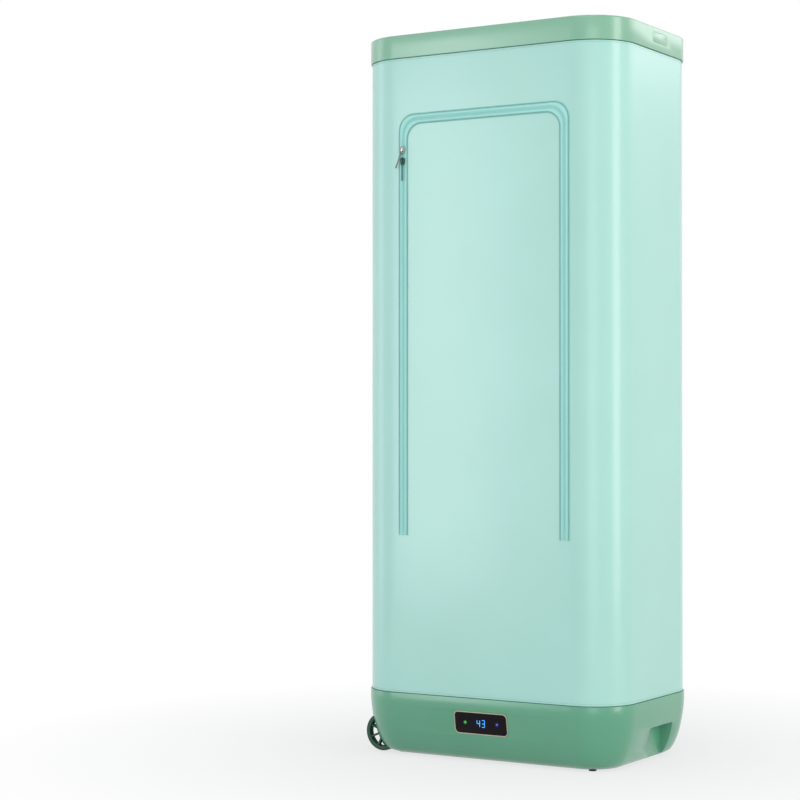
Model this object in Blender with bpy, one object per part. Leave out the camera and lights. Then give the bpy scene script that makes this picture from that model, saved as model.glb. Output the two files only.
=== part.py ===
"""Portable clothes dryer that folds into a suitcase.

A shallow tub with a blower and a heater carries two telescopic poles. They lift a lid, from which a
zipped fabric cover hangs. With the poles pushed in, the lid lands on the tub and closes the case.
Metres, +Z up, front towards -Y, origin on the ground under the middle of the case.
"""

import math

import bmesh
import bpy
from mathutils import Euler, Matrix, Vector

# Case
CASE_WIDTH = 0.500
CASE_DEPTH = 0.340
CASE_CORNER_RADIUS = 0.082
CASE_CORNER_STEPS = 5
TOUCH_GAP = 0.0003
OVERRUN = 0.010
RUNNING_GAP = 0.0003

# Base shell: upright at the rim, drafted, then curled in to the bottom
GROUND_GAP = 0.0037
RIM_HEIGHT = 0.1095
RIM_BAND = 0.014
RIM_CHAMFER = 0.0005
BASE_DRAFT_SHARE = 0.076
CURL_START = 0.020
CURL_WIDTH = 0.026
CURL_STEPS = 5
BASE_WALL = 0.0022
BASE_FLOOR = 0.0025

# Grip recess in the end opposite the wheels
GRIP_NEAR_Y = -0.0265
GRIP_FAR_Y = 0.0650
GRIP_FOOT_Y = 0.0520
GRIP_TOP = 0.0620
GRIP_SHOULDER = 0.0385
GRIP_FOOT = 0.0045
GRIP_DEPTH = 0.028
GRIP_WALL = 0.0022
GRIP_CORNER = 0.004

# Wheels and their arches
WHEEL_RADIUS = 0.0325
WHEEL_FROM_END = 0.039
WHEEL_FROM_SIDE = 0.040
WHEEL_CLEAR_OF_GROUND = 0.0025
WHEEL_WIDTH = 0.012
WHEEL_RIM = 0.0070
WHEEL_CROWN = 0.0015
WHEEL_HUB_RADIUS = 0.0072
WHEEL_HUB_WIDTH = 0.0146
WHEEL_SPOKES = 8
WHEEL_SPOKE_WIDTH = 0.0034
WHEEL_SPOKE_THICKNESS = 0.0070
WHEEL_FIRST_SPOKE_SHARE = 0.5
WHEEL_STEPS = 26
ARCH_RADIUS = 0.0362
ARCH_HALF_WIDTH = 0.0090
ARCH_WALL = 0.0020
ARCH_STEPS = 9
AXLE_RADIUS = 0.0025
AXLE_HEAD_RADIUS = 0.0050
AXLE_HEAD = 0.0020
AXLE_CAP_SHARE = 0.7
AXLE_STEPS = 10

# Feet
FOOT_FROM_END = 0.063
FOOT_FROM_SIDE = 0.048
FOOT_BESIDE_WHEEL = 0.022
FOOT_RADIUS = 0.0065
FOOT_STUD_RADIUS = 0.0020
FOOT_STUD = 0.0022
FOOT_STEPS = 12

# Deck over the machinery
DECK_TOP = 0.0760
DECK_THICKNESS = 0.0025
DECK_POST_FROM_END = 0.120
DECK_POST_FROM_SIDE = 0.035
DECK_POST_RADIUS = 0.0042
STAKE_RADIUS = 0.0018
STAKE_HEAD_RADIUS = 0.0034
STAKE_HEAD = 0.0014
STAKE_CROWN_SHARE = 0.8
POST_STEPS = 8
COLLAR_WALL = 0.0030
COLLAR_HEIGHT = 0.0060
COLLAR_SINK = 0.0010

# Hem rings that hold the cover in the rim and in the lid
COVER_INSET = 0.0026
COVER_THICKNESS = 0.0008
HEM_RING_THICKNESS = 0.0030
HEM_RING_HEIGHT = 0.0090
HEM_RING_BELOW_RIM = 0.0056
BASE_HEM = 0.0140
HEM_LEG_WIDTH = 0.0120
HEM_LEG_FROM_END = 0.130
HEM_LEG_FROM_SIDE = 0.108
HEM_LEG_SETBACK = 0.0010

# Lid
LID_HEIGHT = 0.0395
TOWER_HEIGHT = 1.2355
CLOSED_GAP = 0.0006
LID_WALL = 0.0022
LID_EDGE_RADIUS = 0.0028
LID_EDGE_STEPS = 3
LID_CEILING = 0.0025
LID_RIM_WIDTH = 0.0110
LID_RECESS = 0.0040
LID_HEM = 0.0100
LID_HEM_RING_LIFT = 0.0019
PANEL_GROOVE = 0.0016
PANEL_PLATE = 0.0022
PANEL_PITCH_X = 0.0190
PANEL_PITCH_Y = 0.0242
PANEL_ROW_SHIFT_SHARE = 0.5
PANEL_START_SHARE = 0.25
PANEL_SPARE_ROWS = 1
PANEL_SPARE_COLUMNS = 2
FACET_HEIGHT = 0.0011

# Telescopic poles
POLE_FROM_END = 0.052
POLE_LEAST_OVERLAP = 0.012
POLE_TOP_RADIUS = 0.0065
POLE_WALL = 0.0007
POLE_STEPS = 12
POLE_SOCKET_WALL = 0.0025
POLE_SOCKET_HEIGHT = 0.012
POLE_PEG_LENGTH = 0.012

# Hanging rods and their brackets
ROD_FROM_SIDE = 0.090
ROD_DROP = 0.016
ROD_RADIUS = 0.0080
ROD_WALL = 0.0010
ROD_STEPS = 12
BRACKET_FROM_END = 0.0238
BRACKET_THICKNESS = 0.0030
BRACKET_PAST_ROD = 0.015
BRACKET_DROP = 0.0257
BRACKET_FLANGE_WIDTH = 0.0110
BRACKET_FLANGE = 0.0020
BRACKET_CORNER = 0.008

# Latch in the lid's end, its hook and its keeper
LATCH_Y = 0.009
LATCH_WIDTH = 0.058
LATCH_HEIGHT = 0.0174
LATCH_CORNER = 0.0040
LATCH_ABOVE_LID_EDGE = 0.0218
LATCH_LIP = 0.0020
LATCH_LIP_THICKNESS = 0.0015
LATCH_ARM_THICKNESS = 0.0020
LATCH_HOOK_WIDTH = 0.024
HOOK_THICKNESS = 0.0022
HOOK_TOE = 0.0040
HOOK_TOE_HEIGHT = 0.0020
HOOK_RAMP = 0.0032
HOOK_ABOVE_RIM = 0.0010
KEEPER_FROM_END = 0.0095
KEEPER_THICKNESS = 0.0020
KEEPER_LIP = 0.0025
KEEPER_LIP_HEIGHT = 0.0020
KEEPER_FOOT = 0.0105
KEEPER_FOOT_THICKNESS = 0.0020
KEEPER_CLEARANCE = 0.0005

# Display in the base's front wall
DISPLAY_X = 0.0018
DISPLAY_LOW = 0.0490
DISPLAY_HIGH = 0.0880
DISPLAY_WIDTH = 0.102
DISPLAY_CORNER = 0.0085
BEZEL_FRAME = 0.0019
BEZEL_PROUD = 0.0014
BEZEL_DEPTH = 0.0030
LENS_PROUD = 0.0008
LENS_THICKNESS = 0.0026
KEY_FROM_EDGE = 0.0207
KEY_RADIUS = 0.0036
KEY_CROWN = 0.0010
KEY_SHOULDER_SHARE = 0.62
KEY_SHOULDER_RISE_SHARE = 0.72
KEY_FLANGE_RADIUS = 0.0046
KEY_FLANGE = 0.0008
KEY_STEM_RADIUS = 0.0018
KEY_TRAVEL = 0.0010
KEY_STEPS = 12
BOARD_DEPTH = 0.0085
BOARD_THICKNESS = 0.0016
BOARD_FROM_EDGE = 0.0050
BOARD_HEIGHT = 0.0310
DIGITS_WIDTH = 0.028
DIGITS_HEIGHT = 0.016
HUMP_PAST_DISPLAY = 0.0075
HUMP_TOP = 0.0915
HUMP_DEPTH = 0.0185
HUMP_WALL = 0.0018

# Air intake and power inlet in the base's rear wall
INTAKE_FROM_END = 0.115
INTAKE_WIDTH = 0.150
INTAKE_LOW = 0.0340
INTAKE_HIGH = 0.0700
INTAKE_CORNER = 0.0060
INTAKE_PROUD = 0.0012
INTAKE_THICKNESS = 0.0036
INTAKE_SLOTS = 13
INTAKE_FRAME = 0.0050
INTAKE_BAR = 0.0026
INLET_FROM_END = 0.120
INLET_HEIGHT_ABOVE_GROUND = 0.0635
INLET_WIDTH = 0.030
INLET_HEIGHT = 0.0170
INLET_CORNER = 0.0040
INLET_FACE_INSET = 0.0024
INLET_DEPTH = 0.0240
SOCKET_WIDTH = 0.0200
SOCKET_HEIGHT = 0.0088
SOCKET_DEPTH = 0.0160
PIN_RADIUS = 0.0012
PIN_PITCH = 0.0086
PIN_LENGTH = 0.0120
PIN_STEPS = 8

# Blower, its size and its place across a share of the case's width
MACHINE_FROM_MIDDLE_SHARE = 0.17
BLOWER_Y = 0.025
SCROLL_RADIUS_SHARE = 0.156
SCROLL_GROWTH = 0.0220
SCROLL_TONGUE_ANGLE = math.radians(-50)
SCROLL_END_ANGLE = math.radians(270)
SCROLL_STEPS = 18
SCROLL_WALL = 0.0020
SCROLL_HEIGHT = 0.0574
MOTOR_RADIUS = 0.0190
MOTOR_HEIGHT = 0.0200
MOTOR_SHAFT_RADIUS = 0.0025
MOTOR_SHAFT_LENGTH = 0.0210
MOTOR_STEPS = 16
IMPELLER_CLEARANCE = 0.0040
IMPELLER_BLADE_LENGTH = 0.0120
IMPELLER_BLADE_STEPS = 2
IMPELLER_PLATE = 0.0015
IMPELLER_HEIGHT = 0.0270
IMPELLER_HUB_RADIUS = 0.0080
IMPELLER_HUB_HEIGHT = 0.0170
IMPELLER_LIFT = 0.0010
IMPELLER_BLADES = 22
IMPELLER_BLADE_THICKNESS = 0.0011
IMPELLER_BLADE_SWEEP = math.radians(9)
IMPELLER_STEPS = 24

# Heater, its duct and the grille above it
HEATER_FROM_MIDDLE = 0.024
HEATER_BESIDE_SCROLL = 0.001
HEATER_LOW = 0.0480
HEATER_HEIGHT = 0.0200
HEATER_FRAME = 0.0030
HEATER_FINS = 16
HEATER_FIN = 0.0012
DUCT_WALL = 0.0020
DUCT_FLOOR_LIFT = 0.0003
GRILLE_LIP = 0.0045
GRILLE_THICKNESS = 0.0024
GRILLE_BARS = 11
GRILLE_BAR = 0.0032
GRILLE_CORNER = 0.0080

# Zip in the cover's front: an upside-down U
DOOR_X = 0.0050
DOOR_FROM_END = 0.0960
DOOR_BELOW_LID = 0.1060
DOOR_ABOVE_RIM = 0.2695
DOOR_CORNER = 0.0185
DOOR_CORNER_STEPS = 6
TAPE_WIDTH = 0.0170
TAPE_THICKNESS = 0.0006
COIL_WIDTH = 0.0060
COIL_THICKNESS = 0.0012
SLIDER_WIDTH = 0.0090
SLIDER_NECK = 0.0055
SLIDER_LENGTH = 0.0120
SLIDER_PLATE = 0.0018
SLIDER_BRIDGE = 0.0026
SLIDER_BRIDGE_WIDTH = 0.0014
SLIDER_BRIDGE_BAR = 0.0010
SLIDER_BRIDGE_SHARE = 0.75
SLIDER_SHOULDER_SHARE = 0.6
SLIDER_BELOW_DOOR = 0.0520
SLIDER_SPACING = 0.0195
TAB_LENGTH = 0.0315
TAB_WIDTH = 0.0024
TAB_HEAD_WIDTH = 0.0050
TAB_THICKNESS = 0.0008
TAB_CROWN = 0.0010
TAB_EYE_WIDTH = 0.0035
TAB_EYE_LENGTH = 0.0029
TAB_SHOULDER = 0.0020
TAB_PLAY = 0.0013
UPPER_TAB_LEAN = math.radians(24)

# Places that follow from the sizes
LID_EDGE_Z = TOWER_HEIGHT - LID_HEIGHT
LID_TRAVEL = LID_EDGE_Z - RIM_HEIGHT - CLOSED_GAP
FLOOR_Z = GROUND_GAP + BASE_FLOOR
BASE_DEPTH = RIM_HEIGHT - GROUND_GAP
CEILING_TOP = TOWER_HEIGHT - LID_RECESS
CEILING_Z = CEILING_TOP - LID_CEILING
WHEEL_X = WHEEL_FROM_END - CASE_WIDTH / 2
WHEEL_Y = CASE_DEPTH / 2 - WHEEL_FROM_SIDE
WHEEL_Z = WHEEL_RADIUS + WHEEL_CLEAR_OF_GROUND
FOOT_X = CASE_WIDTH / 2 - FOOT_FROM_END
FOOT_Y = CASE_DEPTH / 2 - FOOT_FROM_SIDE
WHEEL_END_FOOT_Y = WHEEL_Y - FOOT_BESIDE_WHEEL
DECK_BOTTOM = DECK_TOP - DECK_THICKNESS
DECK_POST_X = CASE_WIDTH / 2 - DECK_POST_FROM_END
DECK_POST_Y = CASE_DEPTH / 2 - DECK_POST_FROM_SIDE
POLE_X = CASE_WIDTH / 2 - POLE_FROM_END
POLE_FOOT_Z = FLOOR_Z + TOUCH_GAP
POLE_LENGTH = CEILING_Z - LID_TRAVEL - TOUCH_GAP - POLE_FOOT_Z
POLE_TUBES = 1 + math.ceil(LID_TRAVEL / (POLE_LENGTH - POLE_LEAST_OVERLAP))
POLE_STEP = POLE_WALL + RUNNING_GAP
POLE_FOOT_RADIUS = POLE_TOP_RADIUS + (POLE_TUBES - 1) * POLE_STEP
ROD_Y = CASE_DEPTH / 2 - ROD_FROM_SIDE
BRACKET_X = CASE_WIDTH / 2 - BRACKET_FROM_END
BRACKET_HALF_SPAN = ROD_Y + BRACKET_PAST_ROD
KEEPER_X = CASE_WIDTH / 2 - KEEPER_FROM_END
COVER_FOOT = RIM_HEIGHT - BASE_HEM
COVER_TOP = LID_EDGE_Z + LID_HEM
COVER_FRONT = -CASE_DEPTH / 2 + COVER_INSET
HEM_RING_INSET = COVER_INSET + COVER_THICKNESS + TOUCH_GAP
HEM_LEG_X = CASE_WIDTH / 2 - HEM_LEG_FROM_END
HEM_LEG_Y = CASE_DEPTH / 2 - HEM_LEG_FROM_SIDE
LATCH_Z = LID_EDGE_Z + LATCH_ABOVE_LID_EDGE
KEY_OFFSET = DISPLAY_WIDTH / 2 - KEY_FROM_EDGE
BOARD_WIDTH = DISPLAY_WIDTH - 2 * BOARD_FROM_EDGE
HUMP_HALF_WIDTH = DISPLAY_WIDTH / 2 + HUMP_PAST_DISPLAY
INTAKE_X = INTAKE_FROM_END + INTAKE_WIDTH / 2 - CASE_WIDTH / 2
INLET_X = CASE_WIDTH / 2 - INLET_FROM_END
BLOWER_X = -MACHINE_FROM_MIDDLE_SHARE * CASE_WIDTH
SCROLL_END_RADIUS = SCROLL_RADIUS_SHARE * CASE_WIDTH
SCROLL_START_RADIUS = SCROLL_END_RADIUS - SCROLL_GROWTH
IMPELLER_RADIUS = SCROLL_START_RADIUS - IMPELLER_CLEARANCE
IMPELLER_INNER_RADIUS = IMPELLER_RADIUS - IMPELLER_BLADE_LENGTH
HEATER_X = MACHINE_FROM_MIDDLE_SHARE * CASE_WIDTH
HEATER_LENGTH = 2 * (HEATER_X - HEATER_FROM_MIDDLE)
HEATER_WIDTH = 2 * (SCROLL_END_RADIUS - BLOWER_Y + HEATER_BESIDE_SCROLL)
DOOR_HALF_WIDTH = CASE_WIDTH / 2 - DOOR_FROM_END
DOOR_TOP = LID_EDGE_Z - DOOR_BELOW_LID
DOOR_FOOT = RIM_HEIGHT + DOOR_ABOVE_RIM
UPPER_SLIDER_Z = DOOR_TOP - SLIDER_BELOW_DOOR
LOWER_SLIDER_Z = UPPER_SLIDER_Z - SLIDER_SPACING


# Scene and materials


def clear_scene():
    for item in list(bpy.data.objects):
        bpy.data.objects.remove(item, do_unlink=True)


def finish_material(name, colour, roughness, metallic=0.0):
    made = bpy.data.materials.new(name)
    made.use_nodes = True
    shader = made.node_tree.nodes["Principled BSDF"]
    shader.inputs["Base Color"].default_value = (*colour, 1.0)
    shader.inputs["Roughness"].default_value = roughness
    shader.inputs["Metallic"].default_value = metallic
    made.diffuse_color = (*colour, 1.0)
    return made


def base_plastic():
    return finish_material("base_plastic", (0.150, 0.400, 0.270), 0.38)


def lid_plastic():
    return finish_material("lid_plastic", (0.290, 0.520, 0.390), 0.28)


def wheel_plastic():
    return finish_material("wheel_plastic", (0.006, 0.050, 0.027), 0.45)


def deck_plastic():
    return finish_material("deck_plastic", (0.42, 0.50, 0.46), 0.50)


def inner_plastic():
    return finish_material("inner_plastic", (0.30, 0.31, 0.31), 0.55)


def foot_rubber():
    return finish_material("foot_rubber", (0.012, 0.012, 0.012), 0.75)


def bright_steel():
    return finish_material("bright_steel", (0.55, 0.55, 0.55), 0.35, 1.0)


def pole_steel():
    return finish_material("pole_steel", (0.72, 0.72, 0.73), 0.25, 1.0)


def cover_fabric():
    return finish_material("cover_fabric", (0.480, 0.740, 0.690), 0.80)


def zip_fabric():
    return finish_material("zip_fabric", (0.330, 0.680, 0.620), 0.70)


def zip_metal():
    return finish_material("zip_metal", (0.60, 0.62, 0.60), 0.30, 1.0)


def heater_aluminium():
    return finish_material("heater_aluminium", (0.70, 0.70, 0.70), 0.40, 1.0)


def bezel_metal():
    return finish_material("bezel_metal", (0.42, 0.42, 0.33), 0.35, 0.8)


def display_black():
    return finish_material("display_glass", (0.006, 0.004, 0.006), 0.12)


def power_green():
    return finish_material("power_key", (0.01, 0.30, 0.03), 0.25)


def mode_blue():
    return finish_material("mode_key", (0.02, 0.05, 0.35), 0.25)


def circuit_green():
    return finish_material("circuit_board", (0.02, 0.12, 0.05), 0.60)


def link_object(name, mesh):
    made = bpy.data.objects.new(name, mesh)
    bpy.context.scene.collection.objects.link(made)
    return made


# Outlines: lists of 2-D points, counter-clockwise


def rounded_rectangle(half_width, half_height, radius, steps=CASE_CORNER_STEPS):
    corners = ((1, 1), (-1, 1), (-1, -1), (1, -1))
    points = []
    for turn, (right, up) in enumerate(corners):
        centre = Vector((right * (half_width - radius), up * (half_height - radius)))
        for step in range(steps + 1):
            angle = math.pi / 2 * (turn + step / steps)
            points.append(centre + radius * Vector((math.cos(angle), math.sin(angle))))
    return points


def case_outline(inset):
    return rounded_rectangle(
        CASE_WIDTH / 2 - inset, CASE_DEPTH / 2 - inset, CASE_CORNER_RADIUS - inset
    )


def box_outline(low, high):
    return [
        Vector((low[0], low[1])),
        Vector((high[0], low[1])),
        Vector((high[0], high[1])),
        Vector((low[0], high[1])),
    ]


def circle_outline(radius, steps, centre=(0, 0)):
    return [
        Vector(centre) + radius * Vector((math.cos(angle), math.sin(angle)))
        for angle in (math.tau * step / steps for step in range(steps))
    ]


def moved(points, shift):
    return [point + Vector(shift) for point in points]


# Ways to lay a 2-D outline and a height along one of the axes


def along_z(point, height):
    return Vector((point[0], point[1], height))


def along_x(point, height):
    return Vector((height, point[0], point[1]))


def along_y(point, height):
    return Vector((point[0], height, point[1]))


# Solids


def solid(name, bm):
    bmesh.ops.recalc_face_normals(bm, faces=bm.faces)
    mesh = bpy.data.meshes.new(name)
    bm.to_mesh(mesh)
    bm.free()
    return link_object(name, mesh)


def prism(outline, low, high, lay=along_z, name="prism"):
    """An outline extruded between two heights along one axis."""
    bm = bmesh.new()
    face = bm.faces.new([bm.verts.new(lay(point, low)) for point in outline])
    grown = bmesh.ops.extrude_face_region(bm, geom=[face])["geom"]
    top = [item for item in grown if isinstance(item, bmesh.types.BMVert)]
    rise = lay((0, 0), high) - lay((0, 0), low)
    bmesh.ops.translate(bm, verts=top, vec=rise)
    return solid(name, bm)


def loft(sections, name="loft"):
    """A closed solid through outlines with the same count of points, at rising heights."""
    bm = bmesh.new()
    rings = [[bm.verts.new((*point, height)) for point in outline] for outline, height in sections]
    for lower, upper in zip(rings, rings[1:]):
        for this in range(len(lower)):
            after = (this + 1) % len(lower)
            bm.faces.new((lower[this], lower[after], upper[after], upper[this]))
    bm.faces.new(rings[0])
    bm.faces.new(rings[-1])
    return solid(name, bm)


def revolve(profile, steps, name="revolve"):
    """A closed (radius, height) profile turned about Z. Points at radius zero lie on the axis."""
    bm = bmesh.new()
    rows = []
    for radius, height in profile:
        if radius == 0:
            rows.append([bm.verts.new((0, 0, height))])
        else:
            rows.append(
                [bm.verts.new((*point, height)) for point in circle_outline(radius, steps)]
            )
    for lower, upper in zip(rows, rows[1:] + rows[:1]):
        for this in range(steps):
            after = (this + 1) % steps
            corners = []
            for row, index in ((lower, this), (lower, after), (upper, after), (upper, this)):
                vertex = row[index % len(row)]
                if vertex not in corners:
                    corners.append(vertex)
            if len(corners) > 2:
                bm.faces.new(corners)
    return solid(name, bm)


def tube(outer, inner, low, high, steps, name="tube"):
    return revolve([(outer, low), (outer, high), (inner, high), (inner, low)], steps, name)


def rod(radius, low, high, steps, name="rod"):
    return revolve([(0, low), (radius, low), (radius, high), (0, high)], steps, name)


def ring_band(outer_inset, inner_inset, low, high, name="band"):
    """A band that follows the case's outline, between two insets and two heights."""
    outer, inner = case_outline(outer_inset), case_outline(inner_inset)
    bm = bmesh.new()
    loops = []
    for outline, height in ((outer, low), (outer, high), (inner, high), (inner, low)):
        loops.append([bm.verts.new((*point, height)) for point in outline])
    for lower, upper in zip(loops, loops[1:] + loops[:1]):
        for this in range(len(lower)):
            after = (this + 1) % len(lower)
            bm.faces.new((lower[this], lower[after], upper[after], upper[this]))
    return solid(name, bm)


def merged(pieces):
    """Several separate solids as one mesh."""
    bm = bmesh.new()
    for piece in pieces:
        bpy.context.view_layer.update()
        part = piece.data.copy()
        part.transform(piece.matrix_world)
        bm.from_mesh(part)
        bpy.data.meshes.remove(part)
        bpy.data.objects.remove(piece, do_unlink=True)
    mesh = bpy.data.meshes.new("merged")
    bm.to_mesh(mesh)
    bm.free()
    return link_object("merged", mesh)


def shape(target, tool, operation):
    """The target after one exact Boolean with the tool, which is used up."""
    step = target.modifiers.new(operation.lower(), "BOOLEAN")
    step.operation = operation
    step.solver = "EXACT"
    step.object = tool
    view = bpy.context.evaluated_depsgraph_get()
    view.update()
    mesh = bpy.data.meshes.new_from_object(target.evaluated_get(view))
    target.modifiers.clear()
    target.data = mesh
    bpy.data.objects.remove(tool, do_unlink=True)
    return target


def cut(target, tool):
    return shape(target, tool, "DIFFERENCE")


def join(target, tool):
    return shape(target, tool, "UNION")


def shift(piece, offset):
    piece.data.transform(Matrix.Translation(offset))
    return piece


def turn(piece, angle, axis):
    piece.data.transform(Matrix.Rotation(angle, 4, axis))
    return piece


def deliver(piece, name, finish, origin=(0, 0, 0), parent=None, sharp=35):
    """Name the piece, give it its finish and put its origin on its axis or seat."""
    piece.data.transform(Matrix.Translation(-Vector(origin)))
    piece.location = origin
    piece.name = name
    piece.data.name = name
    piece.data.materials.clear()
    piece.data.materials.append(finish)
    for polygon in piece.data.polygons:
        polygon.material_index = 0
    piece.data.shade_smooth()
    piece.data.set_sharp_from_angle(angle=math.radians(sharp))
    if parent:
        piece.parent = parent
    return piece


def base_inset(height):
    """How far the base's wall stands in from the case's outline at a height above the ground."""
    depth = RIM_HEIGHT - height
    draft = BASE_DRAFT_SHARE * max(0.0, depth - RIM_BAND)
    curl = max(0.0, depth - CURL_START) / (BASE_DEPTH - CURL_START)
    return draft + CURL_WIDTH * (1 - math.sqrt(max(0.0, 1 - curl**2)))


def skin_heights():
    """Heights of the wall's rings, closer together where it curls in towards the bottom."""
    heights = [GROUND_GAP]
    for step in range(1, CURL_STEPS + 1):
        share = math.cos(math.pi / 2 * step / CURL_STEPS)
        heights.append(RIM_HEIGHT - CURL_START - (BASE_DEPTH - CURL_START) * share)
    return [*heights, RIM_HEIGHT - RIM_BAND, RIM_HEIGHT - RIM_CHAMFER]


def wall_inset(height):
    """The inset of the faceted wall, between the rings below and above."""
    heights = skin_heights()
    for low, high in zip(heights, heights[1:]):
        if low <= height <= high:
            share = (height - low) / (high - low)
            return base_inset(low) + (base_inset(high) - base_inset(low)) * share
    return 0.0


def wall_frame(x, low, high, side):
    """An empty on the base's wall: X along the wall, Y inwards, Z up the wall."""
    low_y = side * (CASE_DEPTH / 2 - wall_inset(low))
    high_y = side * (CASE_DEPTH / 2 - wall_inset(high))
    lean = math.atan2(abs(high_y - low_y), high - low)
    holder = bpy.data.objects.new("wall_frame", None)
    bpy.context.scene.collection.objects.link(holder)
    holder.location = (x, (low_y + high_y) / 2, (low + high) / 2)
    holder.rotation_euler = Euler((lean, 0, 0 if side < 0 else math.pi))
    bpy.context.view_layer.update()
    return holder, math.hypot(high - low, high_y - low_y)


# Base


def grip_outline(grow):
    """The recess seen from its end: upright cheeks, and a floor that falls to the far bottom corner."""
    near, far, foot = GRIP_NEAR_Y - grow, GRIP_FAR_Y + grow, GRIP_FOOT_Y - grow
    run, fall = GRIP_FOOT_Y - GRIP_NEAR_Y, GRIP_SHOULDER - GRIP_FOOT
    drop = grow * (math.hypot(run, fall) - fall) / run
    top = GRIP_TOP + grow
    return [
        Vector((foot, -OVERRUN)),
        Vector((far, -OVERRUN)),
        Vector((far, top - GRIP_CORNER)),
        Vector((far - GRIP_CORNER, top)),
        Vector((near + GRIP_CORNER, top)),
        Vector((near, top - GRIP_CORNER)),
        Vector((near, GRIP_SHOULDER - drop)),
        Vector((foot, GRIP_FOOT - drop)),
    ]


def grip_tool(grow):
    back = CASE_WIDTH / 2 - GRIP_DEPTH - grow
    return prism(grip_outline(grow), back, CASE_WIDTH / 2 + OVERRUN, along_x)


def arch_tool(side, grow):
    """The wheel's slot: an arch over the axle, open downwards and at the corner."""
    radius = ARCH_RADIUS + grow
    outline = [Vector((WHEEL_X - radius, -OVERRUN)), Vector((WHEEL_X + radius, -OVERRUN))]
    for step in range(ARCH_STEPS + 1):
        angle = math.pi * step / ARCH_STEPS
        outline.append(
            Vector((WHEEL_X + radius * math.cos(angle), WHEEL_Z + radius * math.sin(angle)))
        )
    half = ARCH_HALF_WIDTH + grow
    return prism(outline, side * WHEEL_Y - half, side * WHEEL_Y + half, along_y)


def deck_posts():
    return [(x, side * DECK_POST_Y) for x in (-DECK_POST_X, 0, DECK_POST_X) for side in (-1, 1)]


def make_post():
    """A post under the deck whose pin goes through it and is staked over with heat."""
    under, over = DECK_BOTTOM - TOUCH_GAP, DECK_TOP + TOUCH_GAP
    profile = [
        (0, 0),
        (DECK_POST_RADIUS, 0),
        (DECK_POST_RADIUS, under),
        (STAKE_RADIUS, under),
        (STAKE_RADIUS, over),
        (STAKE_HEAD_RADIUS, over),
        (STAKE_HEAD_RADIUS * STAKE_CROWN_SHARE, over + STAKE_HEAD),
        (0, over + STAKE_HEAD),
    ]
    return revolve(profile, POST_STEPS)


def make_base_shell(finish):
    heights = skin_heights()
    skin = [(case_outline(base_inset(height)), height) for height in heights]
    shell = loft([*skin, (case_outline(RIM_CHAMFER), RIM_HEIGHT)], "base_shell")

    inner = [FLOOR_Z, *[height for height in heights if height > FLOOR_Z + BASE_FLOOR]]
    air = loft(
        [
            *[(case_outline(base_inset(height) + BASE_WALL), height) for height in inner],
            (case_outline(BASE_WALL), RIM_HEIGHT + OVERRUN),
        ]
    )
    cut(air, grip_tool(GRIP_WALL))
    for side in (-1, 1):
        cut(air, arch_tool(side, ARCH_WALL))
    bore = POLE_FOOT_RADIUS + RUNNING_GAP
    socket = bore + POLE_SOCKET_WALL
    posts = [shift(make_post(), (x, y, 0)) for x, y in deck_posts()]
    posts += [
        shift(tube(socket, bore, 0, FLOOR_Z + POLE_SOCKET_HEIGHT, POLE_STEPS), (x, 0, 0))
        for x in (-POLE_X, POLE_X)
    ]
    cut(air, merged(posts))
    cut(shell, air)
    cut(shell, grip_tool(0))
    for side in (-1, 1):
        cut(shell, arch_tool(side, 0))

    holes = []
    for x, y in foot_places().values():
        stud = rod(FOOT_STUD_RADIUS + TOUCH_GAP, 0, FLOOR_Z + OVERRUN, FOOT_STEPS)
        holes.append(shift(stud, (x, y, 0)))
    for side in (-1, 1):
        reach = WHEEL_Y - ARCH_HALF_WIDTH
        axle = rod(AXLE_RADIUS + TOUCH_GAP, -OVERRUN / 2, OVERRUN / 2, AXLE_STEPS)
        turn(axle, math.pi / 2, "X")
        holes.append(shift(axle, (WHEEL_X, side * reach, WHEEL_Z)))
    cut(shell, merged(holes))

    holder, height = wall_frame(DISPLAY_X, DISPLAY_LOW, DISPLAY_HIGH, -1)
    window = rounded_rectangle(
        DISPLAY_WIDTH / 2 + TOUCH_GAP, height / 2 + TOUCH_GAP, DISPLAY_CORNER + TOUCH_GAP
    )
    cut(shell, wall_tool(window, holder))
    holder, height = wall_frame(INTAKE_X, INTAKE_LOW, INTAKE_HIGH, 1)
    window = rounded_rectangle(
        INTAKE_WIDTH / 2 + TOUCH_GAP, height / 2 + TOUCH_GAP, INTAKE_CORNER + TOUCH_GAP
    )
    cut(shell, wall_tool(window, holder))
    window = rounded_rectangle(
        INLET_WIDTH / 2 + TOUCH_GAP, INLET_HEIGHT / 2 + TOUCH_GAP, INLET_CORNER + TOUCH_GAP
    )
    window = moved(window, (INLET_X, INLET_HEIGHT_ABOVE_GROUND))
    cut(shell, prism(window, CASE_DEPTH / 2 - OVERRUN, CASE_DEPTH / 2 + OVERRUN, along_y))
    return deliver(shell, "base_shell", finish, sharp=30)


def wall_tool(outline, holder):
    tool = prism(outline, -OVERRUN, OVERRUN, along_y)
    tool.data.transform(holder.matrix_world)
    bpy.data.objects.remove(holder, do_unlink=True)
    return tool


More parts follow.
